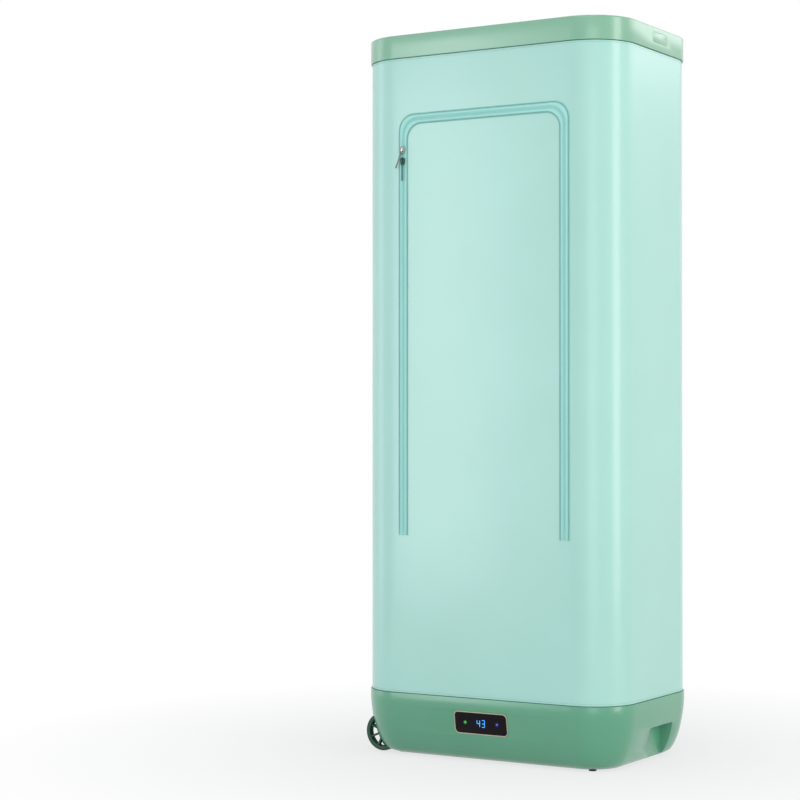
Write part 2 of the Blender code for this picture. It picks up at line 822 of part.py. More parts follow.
def make_deck(finish):
    inset = wall_inset(DECK_BOTTOM) + BASE_WALL + TOUCH_GAP
    deck = prism(case_outline(inset), DECK_BOTTOM, DECK_TOP, name="base_deck")
    front = -CASE_DEPTH / 2 + inset
    hump_low = (DISPLAY_X - HUMP_HALF_WIDTH, front)
    hump_high = (DISPLAY_X + HUMP_HALF_WIDTH, front + HUMP_DEPTH)
    ring_clearance = HEM_RING_INSET + HEM_RING_THICKNESS + TOUCH_GAP
    hump_low = (hump_low[0], max(hump_low[1], -CASE_DEPTH / 2 + ring_clearance))
    join(deck, prism(box_outline(hump_low, hump_high), DECK_BOTTOM, HUMP_TOP))
    collar = POLE_FOOT_RADIUS + RUNNING_GAP + COLLAR_WALL
    rises = [
        shift(rod(collar, DECK_TOP - COLLAR_SINK, DECK_TOP + COLLAR_HEIGHT, POLE_STEPS), (x, 0, 0))
        for x in (-POLE_X, POLE_X)
    ]
    join(deck, merged(rises))
    hollow_low = (hump_low[0] + HUMP_WALL, -CASE_DEPTH / 2)
    hollow_high = (hump_high[0] - HUMP_WALL, hump_high[1] - HUMP_WALL)
    hollow = box_outline(hollow_low, hollow_high)
    cut(deck, prism(hollow, DECK_BOTTOM - OVERRUN, HUMP_TOP - HUMP_WALL))

    opening = rounded_rectangle(
        HEATER_LENGTH / 2 - GRILLE_LIP, HEATER_WIDTH / 2 - GRILLE_LIP, GRILLE_CORNER - GRILLE_LIP
    )
    tools = [prism(moved(opening, (HEATER_X, 0)), DECK_BOTTOM - OVERRUN, DECK_TOP + OVERRUN)]
    for x in (-POLE_X, POLE_X):
        bore = rod(POLE_FOOT_RADIUS + RUNNING_GAP, 0, RIM_HEIGHT, POLE_STEPS)
        tools.append(shift(bore, (x, 0, 0)))
    for x, y in deck_posts():
        tools.append(shift(rod(STAKE_RADIUS + TOUCH_GAP, 0, RIM_HEIGHT, POST_STEPS), (x, y, 0)))
    cut(deck, merged(tools))
    return deliver(deck, "base_deck", finish)


def hem_legs(low, high, outer_inset, inner_inset):
    """Legs behind a hem ring, on the long sides and on the ends."""
    near, far = CASE_DEPTH / 2 - inner_inset, CASE_DEPTH / 2 - outer_inset
    legs = []
    for x in (-HEM_LEG_X, HEM_LEG_X):
        for side in (-1, 1):
            corner = (x - HEM_LEG_WIDTH / 2, min(side * near, side * far))
            other = (x + HEM_LEG_WIDTH / 2, max(side * near, side * far))
            legs.append(prism(box_outline(corner, other), low, high))
    near, far = CASE_WIDTH / 2 - inner_inset, CASE_WIDTH / 2 - outer_inset
    for y in (-HEM_LEG_Y, HEM_LEG_Y):
        for side in (-1, 1):
            corner = (min(side * near, side * far), y - HEM_LEG_WIDTH / 2)
            other = (max(side * near, side * far), y + HEM_LEG_WIDTH / 2)
            legs.append(prism(box_outline(corner, other), low, high))
    return merged(legs)


def make_base_hem_ring(finish):
    high = RIM_HEIGHT - HEM_RING_BELOW_RIM
    low = high - HEM_RING_HEIGHT
    low = max(low, HUMP_TOP + TOUCH_GAP)
    inner = HEM_RING_INSET + HEM_RING_THICKNESS
    ring = ring_band(HEM_RING_INSET, inner, low, high, "base_hem_ring")
    outer = HEM_RING_INSET + HEM_LEG_SETBACK
    join(ring, hem_legs(DECK_TOP + TOUCH_GAP, (low + high) / 2, outer, inner))
    return deliver(ring, "base_hem_ring", finish)


def foot_places():
    return {
        "front_left": (-FOOT_X, -WHEEL_END_FOOT_Y),
        "front_right": (FOOT_X, -FOOT_Y),
        "rear_left": (-FOOT_X, WHEEL_END_FOOT_Y),
        "rear_right": (FOOT_X, FOOT_Y),
    }


def make_foot(x, y, name, finish):
    seat = GROUND_GAP - TOUCH_GAP
    profile = [
        (0, 0),
        (FOOT_RADIUS, 0),
        (FOOT_RADIUS, seat),
        (FOOT_STUD_RADIUS, seat),
        (FOOT_STUD_RADIUS, seat + FOOT_STUD),
        (0, seat + FOOT_STUD),
    ]
    foot = shift(revolve(profile, FOOT_STEPS), (x, y, 0))
    return deliver(foot, name, finish, origin=(x, y, 0))


# Wheels


def make_wheel(side, name, finish):
    half = WHEEL_WIDTH / 2
    bed = WHEEL_RADIUS - WHEEL_RIM
    rim = revolve(
        [
            (bed, -half),
            (WHEEL_RADIUS - WHEEL_CROWN, -half),
            (WHEEL_RADIUS, -half + WHEEL_CROWN),
            (WHEEL_RADIUS, half - WHEEL_CROWN),
            (WHEEL_RADIUS - WHEEL_CROWN, half),
            (bed, half),
        ],
        WHEEL_STEPS,
    )
    spokes = []
    for count in range(WHEEL_SPOKES):
        reach = box_outline(
            (WHEEL_HUB_RADIUS - WHEEL_CROWN, -WHEEL_SPOKE_WIDTH / 2),
            (bed + WHEEL_CROWN, WHEEL_SPOKE_WIDTH / 2),
        )
        spoke = prism(reach, -WHEEL_SPOKE_THICKNESS / 2, WHEEL_SPOKE_THICKNESS / 2)
        angle = math.tau * (count + WHEEL_FIRST_SPOKE_SHARE) / WHEEL_SPOKES
        spokes.append(turn(spoke, angle, "Z"))
    join(rim, merged(spokes))
    bore = AXLE_RADIUS + RUNNING_GAP
    wide = WHEEL_HUB_WIDTH / 2
    join(rim, tube(WHEEL_HUB_RADIUS, bore, -wide, wide, WHEEL_STEPS // 2))
    turn(rim, math.pi / 2, "X")
    centre = (WHEEL_X, side * WHEEL_Y, WHEEL_Z)
    shift(rim, centre)
    return deliver(rim, name, finish, origin=centre)


def make_axle(side, name, finish):
    """A stub axle held in the arch's inner wall, with a nut inside and a cap outside the hub."""
    wall_out = WHEEL_Y - ARCH_HALF_WIDTH
    nut = wall_out - ARCH_WALL - TOUCH_GAP
    cap = WHEEL_Y + WHEEL_HUB_WIDTH / 2 + TOUCH_GAP
    profile = [
        (0, nut - AXLE_HEAD),
        (AXLE_HEAD_RADIUS, nut - AXLE_HEAD),
        (AXLE_HEAD_RADIUS, nut),
        (AXLE_RADIUS, nut),
        (AXLE_RADIUS, cap),
        (AXLE_HEAD_RADIUS, cap),
        (AXLE_HEAD_RADIUS * AXLE_CAP_SHARE, cap + AXLE_HEAD / 2),
        (0, cap + AXLE_HEAD / 2),
    ]
    axle = revolve(profile, AXLE_STEPS)
    turn(axle, -side * math.pi / 2, "X")
    centre = (WHEEL_X, 0, WHEEL_Z)
    shift(axle, centre)
    return deliver(axle, name, finish, origin=centre)


# Display


def in_wall(piece, holder, name, finish):
    """A piece modelled flat, hung on the leaning wall frame."""
    deliver(piece, name, finish)
    piece.parent = holder
    return piece


def make_display():
    holder, height = wall_frame(DISPLAY_X, DISPLAY_LOW, DISPLAY_HIGH, -1)
    holder.name = "display_frame"
    outer = rounded_rectangle(DISPLAY_WIDTH / 2, height / 2, DISPLAY_CORNER)
    frame = prism(outer, -BEZEL_PROUD, BEZEL_DEPTH, along_y)
    opening = rounded_rectangle(
        DISPLAY_WIDTH / 2 - BEZEL_FRAME, height / 2 - BEZEL_FRAME, DISPLAY_CORNER - BEZEL_FRAME
    )
    cut(frame, prism(opening, -OVERRUN, OVERRUN, along_y))
    in_wall(frame, holder, "display_bezel", bezel_metal())

    pane = rounded_rectangle(
        DISPLAY_WIDTH / 2 - BEZEL_FRAME - TOUCH_GAP,
        height / 2 - BEZEL_FRAME - TOUCH_GAP,
        DISPLAY_CORNER - BEZEL_FRAME - TOUCH_GAP,
    )
    lens = prism(pane, -LENS_PROUD, LENS_THICKNESS - LENS_PROUD, along_y)
    drills = []
    for side in (-1, 1):
        hole = circle_outline(KEY_RADIUS + RUNNING_GAP, KEY_STEPS, (side * KEY_OFFSET, 0))
        drills.append(prism(hole, -OVERRUN, OVERRUN, along_y))
    cut(lens, merged(drills))
    in_wall(lens, holder, "display_glass", display_black())

    for side, name, finish in ((-1, "power_key", power_green), (1, "mode_key", mode_blue)):
        head = LENS_THICKNESS - LENS_PROUD + TOUCH_GAP
        tip = BOARD_DEPTH - KEY_TRAVEL - TOUCH_GAP
        key = revolve(
            [
                (0, -LENS_PROUD - KEY_CROWN),
                (KEY_RADIUS * KEY_SHOULDER_SHARE, -LENS_PROUD - KEY_CROWN * KEY_SHOULDER_RISE_SHARE),
                (KEY_RADIUS, -LENS_PROUD),
                (KEY_RADIUS, head),
                (KEY_FLANGE_RADIUS, head),
                (KEY_FLANGE_RADIUS, head + KEY_FLANGE),
                (KEY_STEM_RADIUS, head + KEY_FLANGE),
                (KEY_STEM_RADIUS, tip),
                (0, tip),
            ],
            KEY_STEPS,
        )
        turn(key, -math.pi / 2, "X")
        deliver(key, name, finish())
        key.parent = holder
        key.location = (side * KEY_OFFSET, 0, 0)

    plate = box_outline((-BOARD_WIDTH / 2, -BOARD_HEIGHT / 2), (BOARD_WIDTH / 2, BOARD_HEIGHT / 2))
    board = prism(plate, BOARD_DEPTH, BOARD_DEPTH + BOARD_THICKNESS, along_y)
    face = box_outline(
        (-DIGITS_WIDTH / 2, -DIGITS_HEIGHT / 2), (DIGITS_WIDTH / 2, DIGITS_HEIGHT / 2)
    )
    back = LENS_THICKNESS - LENS_PROUD + TOUCH_GAP
    join(board, prism(face, back, BOARD_DEPTH + BOARD_THICKNESS / 2, along_y))
    in_wall(board, holder, "control_board", circuit_green())
    return holder


# Rear wall


def make_intake_grille(finish):
    holder, height = wall_frame(INTAKE_X, INTAKE_LOW, INTAKE_HIGH, 1)
    holder.name = "intake_frame"
    outer = rounded_rectangle(INTAKE_WIDTH / 2, height / 2, INTAKE_CORNER)
    grille = prism(outer, -INTAKE_PROUD, INTAKE_THICKNESS - INTAKE_PROUD, along_y)
    span = INTAKE_WIDTH - 2 * INTAKE_FRAME + INTAKE_BAR
    pitch = span / INTAKE_SLOTS
    slots = []
    for count in range(INTAKE_SLOTS):
        middle = (pitch - span) / 2 + pitch * count
        half = (pitch - INTAKE_BAR) / 2
        slot = box_outline(
            (middle - half, INTAKE_FRAME - height / 2), (middle + half, height / 2 - INTAKE_FRAME)
        )
        slots.append(prism(slot, -OVERRUN, OVERRUN, along_y))
    cut(grille, merged(slots))
    in_wall(grille, holder, "intake_grille", finish)


def make_power_inlet(finish):
    face = CASE_DEPTH / 2 - INLET_FACE_INSET
    body = rounded_rectangle(INLET_WIDTH / 2, INLET_HEIGHT / 2, INLET_CORNER)
    inlet = prism(body, face - INLET_DEPTH, face, along_y)
    socket = rounded_rectangle(SOCKET_WIDTH / 2, SOCKET_HEIGHT / 2, SOCKET_HEIGHT / 2)
    cut(inlet, prism(socket, face - SOCKET_DEPTH, face + OVERRUN, along_y))
    pins = []
    for side in (-1, 1):
        pin = circle_outline(PIN_RADIUS, PIN_STEPS, (side * PIN_PITCH / 2, 0))
        bottom = face - SOCKET_DEPTH
        pins.append(prism(pin, bottom - PIN_RADIUS, bottom + PIN_LENGTH, along_y))
    join(inlet, merged(pins))
    shift(inlet, (INLET_X, 0, INLET_HEIGHT_ABOVE_GROUND))
    return deliver(inlet, "power_inlet", finish)


# Blower, duct and heater


def scroll_outline(grow, mouth):
    """A spiral from the tongue round to the front, then a straight throat towards the duct."""
    centre = Vector((BLOWER_X, BLOWER_Y))
    points = []
    for step in range(SCROLL_STEPS + 1):
        share = step / SCROLL_STEPS
        angle = SCROLL_TONGUE_ANGLE + (SCROLL_END_ANGLE - SCROLL_TONGUE_ANGLE) * share
        radius = SCROLL_START_RADIUS + (SCROLL_END_RADIUS - SCROLL_START_RADIUS) * share + grow
        points.append(centre + radius * Vector((math.cos(angle), math.sin(angle))))
    points.append(Vector((mouth, BLOWER_Y - SCROLL_END_RADIUS - grow)))
    points.append(Vector((mouth, throat_edge() + grow)))
    return points


def throat_edge():
    return BLOWER_Y + SCROLL_START_RADIUS * math.sin(SCROLL_TONGUE_ANGLE)


def duct_face():
    return HEATER_X - HEATER_LENGTH / 2 - TOUCH_GAP - DUCT_WALL


def make_scroll(finish):
    mouth = duct_face() - TOUCH_GAP
    low = FLOOR_Z + TOUCH_GAP
    high = low + SCROLL_HEIGHT
    scroll = prism(scroll_outline(0, mouth), low, high, name="blower_scroll")
    hollow = scroll_outline(-SCROLL_WALL, mouth + OVERRUN)
    cut(scroll, prism(hollow, low + SCROLL_WALL, high - SCROLL_WALL))
    eye = circle_outline(IMPELLER_INNER_RADIUS, IMPELLER_STEPS, (BLOWER_X, BLOWER_Y))
    cut(scroll, prism(eye, high - SCROLL_WALL - OVERRUN / 2, high + OVERRUN))
    return deliver(scroll, "blower_scroll", finish)


def motor_seat():
    return FLOOR_Z + TOUCH_GAP + SCROLL_WALL + TOUCH_GAP


def make_motor(finish):
    low = motor_seat()
    high = low + MOTOR_HEIGHT
    profile = [
        (0, low),
        (MOTOR_RADIUS, low),
        (MOTOR_RADIUS, high),
        (MOTOR_SHAFT_RADIUS, high),
        (MOTOR_SHAFT_RADIUS, high + MOTOR_SHAFT_LENGTH),
        (0, high + MOTOR_SHAFT_LENGTH),
    ]
    motor = revolve(profile, MOTOR_STEPS)
    centre = (BLOWER_X, BLOWER_Y, 0)
    shift(motor, centre)
    return deliver(motor, "blower_motor", finish, origin=centre)


def blade_outline():
    """One forward-curved blade: a thin arc between the inner and the outer radius."""
    front, back = [], []
    for step in range(IMPELLER_BLADE_STEPS + 1):
        share = step / IMPELLER_BLADE_STEPS
        radius = IMPELLER_INNER_RADIUS + IMPELLER_BLADE_LENGTH * share
        angle = IMPELLER_BLADE_SWEEP * share**2
        half = IMPELLER_BLADE_THICKNESS / 2 / radius
        for edge, way in ((front, half), (back, -half)):
            edge.append(radius * Vector((math.cos(angle + way), math.sin(angle + way))))
    return [*back, *reversed(front)]


def make_impeller(finish):
    low = motor_seat() + MOTOR_HEIGHT + IMPELLER_LIFT
    plate = low + IMPELLER_PLATE
    high = low + IMPELLER_HEIGHT
    bore = MOTOR_SHAFT_RADIUS + RUNNING_GAP
    wheel = revolve(
        [
            (bore, low),
            (IMPELLER_RADIUS, low),
            (IMPELLER_RADIUS, plate),
            (IMPELLER_HUB_RADIUS, plate),
            (IMPELLER_HUB_RADIUS, low + IMPELLER_HUB_HEIGHT),
            (bore, low + IMPELLER_HUB_HEIGHT),
        ],
        IMPELLER_STEPS,
    )
    outline = blade_outline()
    blades = []
    for count in range(IMPELLER_BLADES):
        blade = prism(outline, plate - IMPELLER_PLATE / 2, high - IMPELLER_PLATE / 2)
        blades.append(turn(blade, math.tau * count / IMPELLER_BLADES, "Z"))
    join(wheel, merged(blades))
    ring = tube(
        IMPELLER_RADIUS, IMPELLER_INNER_RADIUS, high - IMPELLER_PLATE, high, IMPELLER_STEPS
    )
    join(wheel, ring)
    centre = (BLOWER_X, BLOWER_Y, 0)
    shift(wheel, centre)
    return deliver(wheel, "blower_impeller", finish, origin=centre)


def make_duct(finish):
    low, high = FLOOR_Z + DUCT_FLOOR_LIFT, DECK_BOTTOM - TOUCH_GAP
    half_x = HEATER_LENGTH / 2 + TOUCH_GAP
    half_y = HEATER_WIDTH / 2 + TOUCH_GAP
    outer = box_outline(
        (HEATER_X - half_x - DUCT_WALL, -half_y - DUCT_WALL),
        (HEATER_X + half_x + DUCT_WALL, half_y + DUCT_WALL),
    )
    inner = box_outline((HEATER_X - half_x, -half_y), (HEATER_X + half_x, half_y))
    duct = prism(outer, low, high, name="air_duct")
    cut(duct, prism(inner, low + DUCT_WALL, high + OVERRUN))
    door = box_outline(
        (BLOWER_Y - SCROLL_END_RADIUS + SCROLL_WALL, low + SCROLL_WALL),
        (throat_edge() - SCROLL_WALL, HEATER_LOW - DUCT_WALL),
    )
    cut(duct, prism(door, duct_face() - OVERRUN, duct_face() + OVERRUN, along_x))
    ledge_low = HEATER_LOW - TOUCH_GAP - DUCT_WALL
    ledges = []
    for side in (-1, 1):
        edge = side * (half_y + DUCT_WALL / 2)
        step = side * (half_y - HEATER_FRAME)
        ledge = box_outline(
            (HEATER_X - half_x - DUCT_WALL / 2, min(edge, step)),
            (HEATER_X + half_x + DUCT_WALL / 2, max(edge, step)),
        )
        ledges.append(prism(ledge, ledge_low, HEATER_LOW - TOUCH_GAP))
    join(duct, merged(ledges))
    return deliver(duct, "air_duct", finish)


def make_heater(finish):
    half_x, half_y = HEATER_LENGTH / 2, HEATER_WIDTH / 2
    body = box_outline((HEATER_X - half_x, -half_y), (HEATER_X + half_x, half_y))
    high = HEATER_LOW + HEATER_HEIGHT
    heater = prism(body, HEATER_LOW, high, name="heater")
    pitch = (HEATER_LENGTH - 2 * HEATER_FRAME + HEATER_FIN) / HEATER_FINS
    cells = []
    for count in range(HEATER_FINS):
        low_x = HEATER_X - half_x + HEATER_FRAME + pitch * count
        for side in (-1, 1):
            inner, outer = side * HEATER_FRAME / 2, side * (half_y - HEATER_FRAME)
            cell = box_outline(
                (low_x, min(inner, outer)), (low_x + pitch - HEATER_FIN, max(inner, outer))
            )
            cells.append(prism(cell, HEATER_LOW - OVERRUN, high + OVERRUN))
    cut(heater, merged(cells))
    return deliver(heater, "heater", finish)


def make_outlet_grille(finish):
    half_x, half_y = HEATER_LENGTH / 2, HEATER_WIDTH / 2
    seat = DECK_TOP + TOUCH_GAP
    outer = moved(rounded_rectangle(half_x, half_y, GRILLE_CORNER), (HEATER_X, 0))
    grille = prism(outer, seat, seat + GRILLE_THICKNESS, name="outlet_grille")
    length = 2 * (half_x - 2 * GRILLE_LIP)
    width = 2 * (half_y - 2 * GRILLE_LIP)
    pitch = (length + GRILLE_BAR) / GRILLE_BARS
    slots = []
    for count in range(GRILLE_BARS):
        low_x = HEATER_X - length / 2 + pitch * count
        for side in (-1, 1):
            inner, outer_y = side * GRILLE_BAR / 2, side * width / 2
            slot = box_outline(
                (low_x, min(inner, outer_y)), (low_x + pitch - GRILLE_BAR, max(inner, outer_y))
            )
            slots.append(prism(slot, DECK_BOTTOM, seat + OVERRUN))
    cut(grille, merged(slots))
    return deliver(grille, "outlet_grille", finish)


# Latch


def make_keeper(finish):
    low = DECK_TOP + TOUCH_GAP
    lip = RIM_HEIGHT + CLOSED_GAP + HOOK_ABOVE_RIM + HOOK_TOE_HEIGHT + KEEPER_CLEARANCE
    inner, outer = KEEPER_X, KEEPER_X + KEEPER_THICKNESS
    outline = [
        Vector((outer - KEEPER_FOOT, low)),
        Vector((outer, low)),
        Vector((outer, lip + KEEPER_LIP_HEIGHT)),
        Vector((inner, lip + KEEPER_LIP_HEIGHT)),
        Vector((inner - KEEPER_LIP, lip + KEEPER_LIP_HEIGHT / 2)),
        Vector((inner - KEEPER_LIP, lip)),
        Vector((inner, lip)),
        Vector((inner, low + KEEPER_FOOT_THICKNESS)),
        Vector((outer - KEEPER_FOOT, low + KEEPER_FOOT_THICKNESS)),
    ]
    half = LATCH_HOOK_WIDTH / 2
    keeper = prism(outline, LATCH_Y - half, LATCH_Y + half, along_y)
    return deliver(keeper, "latch_keeper", finish)


def latch_window(grow):
    outline = rounded_rectangle(LATCH_WIDTH / 2 + grow, LATCH_HEIGHT / 2 + grow, LATCH_CORNER + grow)
    return moved(outline, (LATCH_Y, LATCH_Z))


def make_latch_button(finish):
    face = CASE_WIDTH / 2
    back = face - LID_WALL - TOUCH_GAP
    button = prism(latch_window(0), back - LATCH_LIP_THICKNESS / 2, face, along_x)
    join(button, prism(latch_window(LATCH_LIP), back - LATCH_LIP_THICKNESS, back, along_x))
    toe = RIM_HEIGHT + CLOSED_GAP + HOOK_ABOVE_RIM + LID_TRAVEL
    prong = KEEPER_X - TOUCH_GAP - HOOK_TOE - HOOK_THICKNESS
    arm = LATCH_Z - LATCH_HEIGHT / 2
    root = back - LATCH_LIP_THICKNESS / 2
    outline = [
        Vector((prong, toe - HOOK_RAMP)),
        Vector((prong + HOOK_THICKNESS, toe - HOOK_RAMP)),
        Vector((prong + HOOK_THICKNESS + HOOK_TOE, toe + HOOK_TOE_HEIGHT / 2)),
        Vector((prong + HOOK_THICKNESS + HOOK_TOE, toe + HOOK_TOE_HEIGHT)),
        Vector((prong + HOOK_THICKNESS, toe + HOOK_TOE_HEIGHT)),
        Vector((prong + HOOK_THICKNESS, arm)),
        Vector((root, arm)),
        Vector((root, arm + LATCH_ARM_THICKNESS)),
        Vector((prong, arm + LATCH_ARM_THICKNESS)),
    ]
    half = LATCH_HOOK_WIDTH / 2
    join(button, prism(outline, LATCH_Y - half, LATCH_Y + half, along_y))
    return deliver(button, "latch_button", finish, origin=(face, LATCH_Y, LATCH_Z))


# Lid


def make_lid_shell(finish):
    sections = [(case_outline(0), LID_EDGE_Z), (case_outline(0), TOWER_HEIGHT - LID_EDGE_RADIUS)]
    for step in range(1, LID_EDGE_STEPS + 1):
        angle = math.pi / 2 * step / LID_EDGE_STEPS
        inset = LID_EDGE_RADIUS * (1 - math.cos(angle))
        rise = TOWER_HEIGHT - LID_EDGE_RADIUS * (1 - math.sin(angle))
        sections.append((case_outline(inset), rise))
    lid = loft(sections, "lid_shell")
    cut(lid, prism(case_outline(LID_RIM_WIDTH), CEILING_TOP, TOWER_HEIGHT + OVERRUN))
    hollow = prism(case_outline(LID_WALL), LID_EDGE_Z - OVERRUN, CEILING_Z)
    peg_radius = POLE_TOP_RADIUS - POLE_WALL - RUNNING_GAP
    pegs = [
        shift(rod(peg_radius, CEILING_Z - POLE_PEG_LENGTH, TOWER_HEIGHT, POLE_STEPS), (x, 0, 0))
        for x in (-POLE_X, POLE_X)
    ]
    cut(hollow, merged(pegs))
    cut(lid, hollow)
    window = latch_window(TOUCH_GAP)
    cut(lid, prism(window, CASE_WIDTH / 2 - OVERRUN, CASE_WIDTH / 2 + OVERRUN, along_x))
    return deliver(lid, "lid_shell", finish)


def make_lid_panel(finish):
    """Low three-sided pyramids, point up and point down in turn, trimmed to the panel's outline."""
    seat = CEILING_TOP + TOUCH_GAP
    floor = seat + PANEL_PLATE
    rows = math.ceil(CASE_WIDTH / PANEL_PITCH_X) + PANEL_SPARE_ROWS
    columns = math.ceil(CASE_DEPTH / PANEL_PITCH_Y) + PANEL_SPARE_COLUMNS
    bm = bmesh.new()
    grid = []
    for row in range(rows + 1):
        x = (row - rows / 2) * PANEL_PITCH_X
        offset = PANEL_ROW_SHIFT_SHARE * (row % 2) - PANEL_START_SHARE
        line = []
        for column in range(columns + 1):
            y = (column + offset - columns / 2) * PANEL_PITCH_Y
            line.append(bm.verts.new((x, y, floor)))
        grid.append(line)
    for row in range(rows):
        near, far = grid[row], grid[row + 1]
        for column in range(columns):
            if row % 2 == 0:
                pair = (
                    (near[column], near[column + 1], far[column]),
                    (far[column], near[column + 1], far[column + 1]),
                )
            else:
                pair = (
                    (near[column], near[column + 1], far[column + 1]),
                    (near[column], far[column + 1], far[column]),
                )
            for corners in pair:
                centre = sum((vertex.co for vertex in corners), Vector()) / len(corners)
                peak = bm.verts.new(centre + Vector((0, 0, FACET_HEIGHT)))
                for this in range(len(corners)):
                    after = (this + 1) % len(corners)
                    bm.faces.new((corners[this], corners[after], peak))
    edges = [edge for edge in bm.edges if edge.is_boundary]
    grown = bmesh.ops.extrude_edge_only(bm, edges=edges)["geom"]
    lower = [item for item in grown if isinstance(item, bmesh.types.BMVert)]
    bmesh.ops.translate(bm, verts=lower, vec=(0, 0, -PANEL_PLATE - OVERRUN))
    rim = [item for item in grown if isinstance(item, bmesh.types.BMEdge)]
    bmesh.ops.contextual_create(bm, geom=rim)
    slab = solid("lid_panel", bm)
    outline = case_outline(LID_RIM_WIDTH + PANEL_GROOVE)
    shape(slab, prism(outline, seat, seat + OVERRUN), "INTERSECT")
    return deliver(slab, "lid_panel", finish, sharp=1)


def make_lid_hem_ring(finish):
    low = LID_EDGE_Z + LID_HEM_RING_LIFT
    high = low + HEM_RING_HEIGHT
    inner = HEM_RING_INSET + HEM_RING_THICKNESS
    ring = ring_band(HEM_RING_INSET, inner, low, high, "lid_hem_ring")
    outer = HEM_RING_INSET + HEM_LEG_SETBACK
    join(ring, hem_legs((low + high) / 2, CEILING_Z - TOUCH_GAP, outer, inner))
    return deliver(ring, "lid_hem_ring", finish)


def make_bracket(side, name, finish):
    high = CEILING_Z - TOUCH_GAP
    rod_z = CEILING_Z - ROD_DROP
    low = high - BRACKET_DROP
    half = BRACKET_HALF_SPAN
    plate = [
        Vector((-half, high)),
        Vector((-half, low + BRACKET_CORNER)),
        Vector((BRACKET_CORNER - half, low)),
        Vector((half - BRACKET_CORNER, low)),
        Vector((half, low + BRACKET_CORNER)),
        Vector((half, high)),
    ]
    near = BRACKET_X
    far = BRACKET_X + BRACKET_THICKNESS
    bracket = prism(plate, near, far, along_x)
    flange = box_outline(
        (near - BRACKET_FLANGE_WIDTH, high - BRACKET_FLANGE), (near + BRACKET_THICKNESS / 2, high)
    )
    join(bracket, prism(flange, -half, half, along_y))
    drills = [
        prism(
            circle_outline(ROD_RADIUS + TOUCH_GAP, ROD_STEPS, (y, rod_z)),
            near - OVERRUN,
            far + OVERRUN,
            along_x,
        )
        for y in (-ROD_Y, ROD_Y)
    ]
    cut(bracket, merged(drills))
    if side < 0:
        turn(bracket, math.pi, "Z")
    return deliver(bracket, name, finish)


def make_hanging_rod(side, name, finish):
    reach = BRACKET_X + BRACKET_THICKNESS
    bar = tube(ROD_RADIUS, ROD_RADIUS - ROD_WALL, -reach, reach, ROD_STEPS)
    turn(bar, math.pi / 2, "Y")
    centre = (0, side * ROD_Y, CEILING_Z - ROD_DROP)
    shift(bar, centre)
    return deliver(bar, name, finish, origin=centre)


# Poles


def make_pole_tube(side, number, name, finish):
    """Tube 1 stands in the base, the last hangs from the lid. Each is drawn out by an even share."""
    raised = LID_TRAVEL * (number - 1) / (POLE_TUBES - 1)
    outer = POLE_TOP_RADIUS + (POLE_TUBES - number) * POLE_STEP
    low = POLE_FOOT_Z + raised
    piece = tube(outer, outer - POLE_WALL, low, low + POLE_LENGTH, POLE_STEPS)
    centre = (side * POLE_X, 0, 0)
    shift(piece, centre)
    return deliver(piece, name, finish, origin=(side * POLE_X, 0, low))


# Cover and zip


def make_cover(finish):
    inner = COVER_INSET + COVER_THICKNESS
    cover = ring_band(COVER_INSET, inner, COVER_FOOT, COVER_TOP, "fabric_cover")
    return deliver(cover, "fabric_cover", finish)


def door_path(inset):
    """The zip's line from the left foot up, across and down to the right foot."""
    half, radius = DOOR_HALF_WIDTH - inset, DOOR_CORNER - inset
    top = DOOR_TOP - inset
    points = [Vector((-half, DOOR_FOOT))]
    for turn_at, start in ((-1, math.pi), (1, math.pi / 2)):
        centre = Vector((turn_at * (half - radius), top - radius))
        for step in range(DOOR_CORNER_STEPS + 1):
            angle = start - math.pi / 2 * step / DOOR_CORNER_STEPS
            points.append(centre + radius * Vector((math.cos(angle), math.sin(angle))))
    points.append(Vector((half, DOOR_FOOT)))
    return moved(points, (DOOR_X, 0))


def make_zip_chain(finish):
    """A strip of tape with the raised coil along its middle."""
    back = COVER_FRONT - TOUCH_GAP
    tape, coil = back - TAPE_THICKNESS, back - TAPE_THICKNESS - COIL_THICKNESS
    section = [
        (-TAPE_WIDTH / 2, back),
        (-TAPE_WIDTH / 2, tape),
        (-COIL_WIDTH / 2, tape),
        (-COIL_WIDTH / 3, coil),
        (COIL_WIDTH / 3, coil),
        (COIL_WIDTH / 2, tape),
        (TAPE_WIDTH / 2, tape),
        (TAPE_WIDTH / 2, back),
    ]
    bm = bmesh.new()
    lines = []
    for inset, depth in section:
        lines.append([bm.verts.new(along_y(point, depth)) for point in door_path(inset)])
    for this in range(len(lines)):
        line, after = lines[this], lines[(this + 1) % len(lines)]
        for step in range(len(line) - 1):
            bm.faces.new((line[step], line[step + 1], after[step + 1], after[step]))
    bm.faces.new([line[0] for line in lines])
    bm.faces.new([line[-1] for line in lines])
    chain = solid("zip_chain", bm)
    return deliver(chain, "zip_chain", finish)


def slider_place(height):
    return Vector((DOOR_X - DOOR_HALF_WIDTH, slider_back(), height))


def slider_back():
    return COVER_FRONT - TOUCH_GAP - TAPE_THICKNESS - COIL_THICKNESS - TOUCH_GAP


